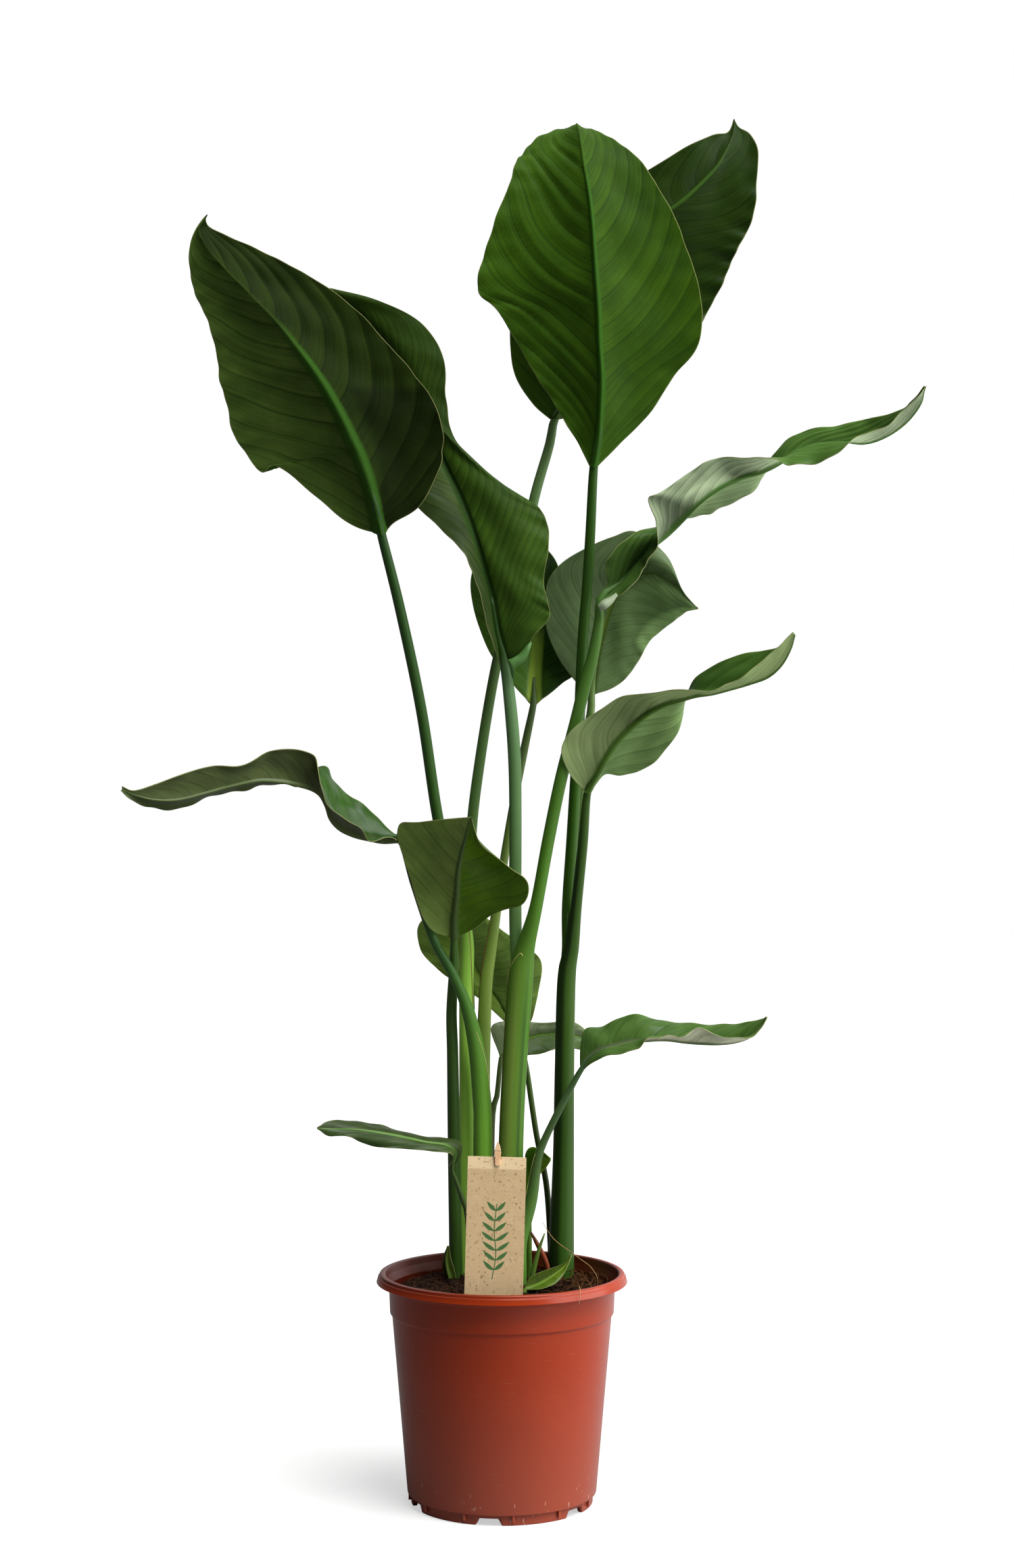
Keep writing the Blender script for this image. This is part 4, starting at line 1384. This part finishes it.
def coil_path():
    """The wire's centre line, wound along X between the peg's legs."""
    share = np.linspace(0, 1, COIL_TURNS * COIL_STEPS + 1)
    angle = share * COIL_TURNS * 2 * math.pi
    centre_r = COIL_R - WIRE_R - 0.05
    x = (share - 0.5) * (PEG_W - 0.9)
    return peg_place(np.stack([x, centre_r * np.cos(angle), COIL_Z + centre_r * np.sin(angle)], 1))


# Settings
class LeafSettings(PropertyGroup):
    """Sizes of the leaves' fine surface."""

    blade_thickness: FloatProperty(name="Blade thickness", description="Thickness of a leaf blade",
                                   default=0.0008, unit="LENGTH")
    row_step: FloatProperty(name="Row spacing", description="Spacing of the blade's rows, in millimetres",
                            default=1.5)
    swell: FloatProperty(name="Swell", description="Height of the slow waves in a blade",
                         default=0.0014, unit="LENGTH")
    arch: FloatProperty(name="Arch", default=0.08,
                        description="Rise of each half blade between midrib and margin, as a share")
    stalk_sides: IntProperty(name="Stalk sides", description="Facets round a stalk", default=20)


class PotSettings(PropertyGroup):
    """Sizes and colour of the nursery pot."""

    rim_radius: FloatProperty(name="Rim radius", description="Outer radius of the rolled rim",
                              default=0.12, unit="LENGTH")
    rim_height: FloatProperty(name="Height", description="Height of the rim above the floor",
                              default=0.2184, unit="LENGTH")
    around: IntProperty(name="Facets", description="Facets round the pot", default=480)
    colour: FloatVectorProperty(name="Plastic", description="Colour of the moulded plastic", size=3,
                                subtype="COLOR", default=linear("#a6350c")[:3])


class SoilSettings(PropertyGroup):
    """What lies on the soil."""

    crumbs: FloatProperty(name="Crumbs", description="Peat crumbs per square metre", default=70000.0)
    fibres: FloatProperty(name="Coco fibres", description="Coco fibres per square metre", default=17000.0)
    lumps: FloatProperty(name="Lumps", description="Larger peat lumps per square metre", default=2600.0)
    perlite: FloatProperty(name="Perlite", description="Grains of perlite per square metre", default=900.0)
    seed: IntProperty(name="Seed", description="Seed of the strewn crumbs and fibres", default=4)


class StageSettings(PropertyGroup):
    """Light on the stage."""

    top_light: FloatProperty(name="Top light", description="Strength of the soft light above", default=3.7)
    right_light: FloatProperty(name="Right light", description="Strength of the soft light at the right",
                               default=2.55)
    left_light: FloatProperty(name="Left light", description="Strength of the soft light at the left",
                              default=0.07)
    sky: FloatProperty(name="Surround", default=0.75,
                       description="Strength of the pale surround as a light, behind and above")
    dim: FloatProperty(name="Dim side", description="Strength of the dim surround, in front and below",
                       default=0.035)
    left_bounce: FloatProperty(name="Left floor bounce", default=0.15,
                               description="Share of the light that the floor throws back up on the left")
    right_bounce: FloatProperty(name="Right floor bounce", default=0.5,
                                description="Share of the light that the floor throws back up on the right")


# Operators
class PLANT_OT_grow_leaves(Operator):
    """Grow the leaves: blade, midrib, stalk and sheath of each in one piece"""

    bl_idname = "plant.grow_leaves"
    bl_label = "Grow leaves"

    def execute(self, context):
        for name in LEAVES:
            grow_leaf(name, context.scene.plant_leaves)
        for name, (hexcode, radius, edges) in SHEATH_EDGES.items():
            papery = plain_material("dry sheath edge, " + name, hexcode, 0.75, 60.0, hexcode)
            paths = [[on_stem(stalk, z, turn) for z, turn in spots] for stalk, spots in edges]
            place(name, thread_mesh(name, paths, radius, papery), "leaf")
        for name, (hexcode, sections) in CURLS.items():
            torn = plain_material("torn blade, " + name, hexcode, 0.6)
            place(name, curl_mesh(name, sections, torn), "leaf")
        return {"FINISHED"}


class PLANT_OT_add_sprouts(Operator):
    """Add the rolled spear and the old dried sheath at the soil"""

    bl_idname = "plant.add_sprouts"
    bl_label = "Add spear and dried sheath"

    def execute(self, context):
        for node, piece, slot, points, look in (
                ("sprout_spear", "sprout_spear_grown", "young_leaf", SPEAR,
                 dict(foot="#55702a", mid="#4d6a26", top="#5d6f30")),
                ("dried_sheath", "dried_sheath_finished", "dried_sheath", OLD_SHEATH,
                 dict(foot="#6e2f1c", mid="#8a3d22", top="#5a3322"))):
            shape = Shape()
            add_stalk(shape, points, SPROUT_SIDES, 0)
            skin = stalk_material(node.replace("_", " "), look)
            place(piece, shape.mesh(piece, [skin]), slot, [node])
        return {"FINISHED"}


class PLANT_OT_turn_pot(Operator):
    """Turn the nursery pot, with its rim, band, foot ring, notches and ribs"""

    bl_idname = "plant.turn_pot"
    bl_label = "Turn pot"

    def execute(self, context):
        settings = context.scene.plant_pot
        plastic = pot_material(settings)
        section = pot_section(settings.rim_radius / MM, settings.rim_height / MM)
        points, faces = turned(section, settings.around, notch_lift)
        shell = cut(mesh_of("pot_turned", points, faces, plastic), drain_holes_mesh(plastic), "pot_shell")
        shell.name = "pot_turned"
        mark_stains(shell, settings.rim_height / MM)
        place("pot_turned", shell, "pot", ["pot"])
        place("pot_foot_ribs", ribs_mesh(plastic), "pot")
        return {"FINISHED"}


class PLANT_OT_fill_soil(Operator):
    """Fill the pot with soil and strew peat crumbs, coco fibres and roots on it"""

    bl_idname = "plant.fill_soil"
    bl_label = "Fill soil"

    def execute(self, context):
        settings = context.scene.plant_soil
        matt = {"Specular IOR Level": 0.08}
        peat = plain_material("moist peat, coarse", "#1e100a", 0.95, 380.0, "#140b06", **matt)
        crumb_peat = plain_material("peat crumbs", "#2c1a11", 0.95, 260.0, "#150c07", **matt)
        coir = plain_material("coco fibre", "#6c4828", 0.8, 120.0, "#3c2414", **matt)
        root = plain_material("dry fine root", "#b08a58", 0.7, **matt)
        stone = plain_material("weathered perlite", "#c8ab84", 0.9, **matt)
        place("soil_filled", mesh_of("soil_filled", *soil_points(), peat), "soil", ["soil"])
        patch = mesh_of("soil_patch", *surface_patch(PATCH_R, PATCH_STEP), peat)
        seed = settings.seed
        # Each with its seed, its size and the range of that in mm, and how level it lies
        for name, thing, density, own_seed, size, spread, finish, flat in (
                ("soil_crumbs", crumb, settings.crumbs, seed, 1.5, 0.9, crumb_peat, 0.0),
                ("soil_coco_fibres", coco_fibre, settings.fibres, seed + 9, 1.0, 0.5, coir, 0.8),
                ("soil_lumps", crumb, settings.lumps, seed + 3, 3.4, 1.2, crumb_peat, 0.0),
                ("soil_perlite", crumb, settings.perlite, seed + 5, 1.3, 0.6, stone, 0.0)):
            mesh = strewn_mesh(name, patch, thing, density, own_seed, size * MM, spread * MM, finish, flat)
            place(name, mesh, "soil")
        for name, paths, finish in (("soil_fibre_tangle", tangle_paths(seed), coir),
                                    ("soil_fine_roots", ROOT_PATHS, root)):
            place(name, thread_mesh(name, paths, THREAD_R, finish), "soil")
        return {"FINISHED"}


class PLANT_OT_set_tag(Operator):
    """Set the card tag with its sprig and the wooden peg"""

    bl_idname = "plant.set_tag"
    bl_label = "Set tag and peg"

    def execute(self, context):
        card = card_material()
        ink = plain_material("green printing ink on card", "#3f6b33", 0.85)
        birch = plain_material("sanded birch", "#e0b98f", 0.6, 160.0, "#cf9f70")
        wire = plain_material("drawn steel wire", "#8d8f92", 0.3, Metallic=1.0)
        place("tag_card_finished", card_mesh(card), "card", ["tag_card"])
        place("tag_printed_sprig", print_mesh(ink), "card")
        for side, node in ((-1, "peg_front_leg"), (1, "peg_back_leg")):
            place(node + "_finished", leg_mesh(side, birch), "peg_wood", [node])
        coil = thread_mesh("peg_spring_coil", [coil_path()], WIRE_R, wire)
        place("peg_spring_coil", coil, "peg_steel", ["peg_spring"])
        return {"FINISHED"}


FLOOR_HALF = 9.0
SOFTBOX_FAR, SOFTBOX_HEIGHT = 3.0, 2.0
SKY_WAY = (0.7, 0.35, 0.62)  # where the pale surround is brightest: at the right, above and behind
SKY_SPAN = (-0.1, 0.9)
# Soft lights: the way round from the front, up from the floor, and how wide each looks, in degrees
SOFTBOXES = {"top": (40, 64, 36), "right": (78, 18, 62), "left": (-50, 15, 120)}


class PLANT_OT_set_stage(Operator):
    """Set the floor, the soft studio light and the camera"""

    bl_idname = "plant.set_stage"
    bl_label = "Set stage"

    def execute(self, context):
        scene, settings = context.scene, context.scene.plant_stage
        lens = bpy.data.cameras.new("photo_lens")
        lens.sensor_width = SENSOR_MM
        lens.lens = FOCAL_PX / PHOTO_HEIGHT_PX * SENSOR_MM
        camera = bpy.data.objects.new("camera", lens)
        camera.location = Vector(CAMERA_MM) * MM
        camera.rotation_euler = (math.pi / 2, 0, 0)
        scene.collection.objects.link(camera)
        scene.camera = camera
        floor_white = plain_material("pale studio floor", "#fafaf9", 0.9)
        dim_floor(floor_white, settings.left_bounce, settings.right_bounce)
        mesh = bpy.data.meshes.new("floor")
        corners = [(x * FLOOR_HALF, y * FLOOR_HALF, 0) for x, y in ((-1, -1), (1, -1), (1, 1), (-1, 1))]
        mesh.from_pydata(corners, [], [(0, 1, 2, 3)])
        mesh.materials.append(floor_white)
        floor = bpy.data.objects.new("floor", mesh)
        scene.collection.objects.link(floor)
        for side, (around_deg, up_deg, wide_deg) in SOFTBOXES.items():
            lamp = bpy.data.lights.new(side + "_softbox", "SUN")
            lamp.energy, lamp.angle = getattr(settings, side + "_light"), math.radians(wide_deg)
            light = bpy.data.objects.new(side + "_softbox", lamp)
            around = math.radians(around_deg)
            light.rotation_euler = (math.radians(90 - up_deg), 0, around)
            light.location = (SOFTBOX_FAR * math.sin(around), -SOFTBOX_FAR * math.cos(around), SOFTBOX_HEIGHT)
            scene.collection.objects.link(light)
        world = bpy.data.worlds.new("pale surround")
        world.use_nodes = True
        tree = world.node_tree
        background = tree.nodes["Background"]
        seen = add_node(tree, "ShaderNodeLightPath").outputs["Is Camera Ray"]
        way = add_node(tree, "ShaderNodeTexCoord").outputs["Generated"]
        towards = add_node(tree, "ShaderNodeVectorMath", {0: way, 1: SKY_WAY}, operation="DOT_PRODUCT")
        sky = add_node(tree, "ShaderNodeMapRange", {
            "Value": towards.outputs["Value"], "From Min": SKY_SPAN[0], "From Max": SKY_SPAN[1],
            "To Min": settings.dim, "To Max": settings.sky}, interpolation_type="SMOOTHSTEP")
        strength = add_node(tree, "ShaderNodeMix", {0: seen, 2: sky.outputs[0], 3: 1.0}).outputs[0]
        tree.links.new(strength, background.inputs["Strength"])
        background.inputs["Color"].default_value = WHITE
        scene.world = world
        scene.view_settings.view_transform = "Standard"
        return {"FINISHED"}


class PLANT_PT_panel(Panel):
    """The potted plant's steps and sizes"""

    bl_label = "Potted bird of paradise"
    bl_idname = "PLANT_PT_panel"
    bl_space_type = "VIEW_3D"
    bl_region_type = "UI"
    bl_category = "Plant"

    def draw(self, context):
        for step in STEPS:
            self.layout.operator(step.bl_idname)
        for group in SETTINGS:
            box = self.layout.box()
            held = getattr(context.scene, group)
            for key in SETTINGS[group].__annotations__:
                box.prop(held, key)


STEPS = (PLANT_OT_set_stage, PLANT_OT_turn_pot, PLANT_OT_fill_soil, PLANT_OT_grow_leaves,
         PLANT_OT_add_sprouts, PLANT_OT_set_tag)
SETTINGS = {"plant_leaves": LeafSettings, "plant_pot": PotSettings, "plant_soil": SoilSettings,
            "plant_stage": StageSettings}


def register():
    for cls in (*SETTINGS.values(), *STEPS, PLANT_PT_panel):
        bpy.utils.register_class(cls)
    for key, cls in SETTINGS.items():
        setattr(bpy.types.Scene, key, PointerProperty(type=cls))


def unregister():
    for key in SETTINGS:
        delattr(bpy.types.Scene, key)
    for cls in (PLANT_PT_panel, *reversed(STEPS), *reversed(list(SETTINGS.values()))):
        bpy.utils.unregister_class(cls)


def main():
    register()
    bpy.ops.plant.set_stage()
    bpy.ops.plant.turn_pot()
    bpy.ops.plant.fill_soil()
    bpy.ops.plant.grow_leaves()
    bpy.ops.plant.add_sprouts()
    bpy.ops.plant.set_tag()


if __name__ == "__main__":
    main()
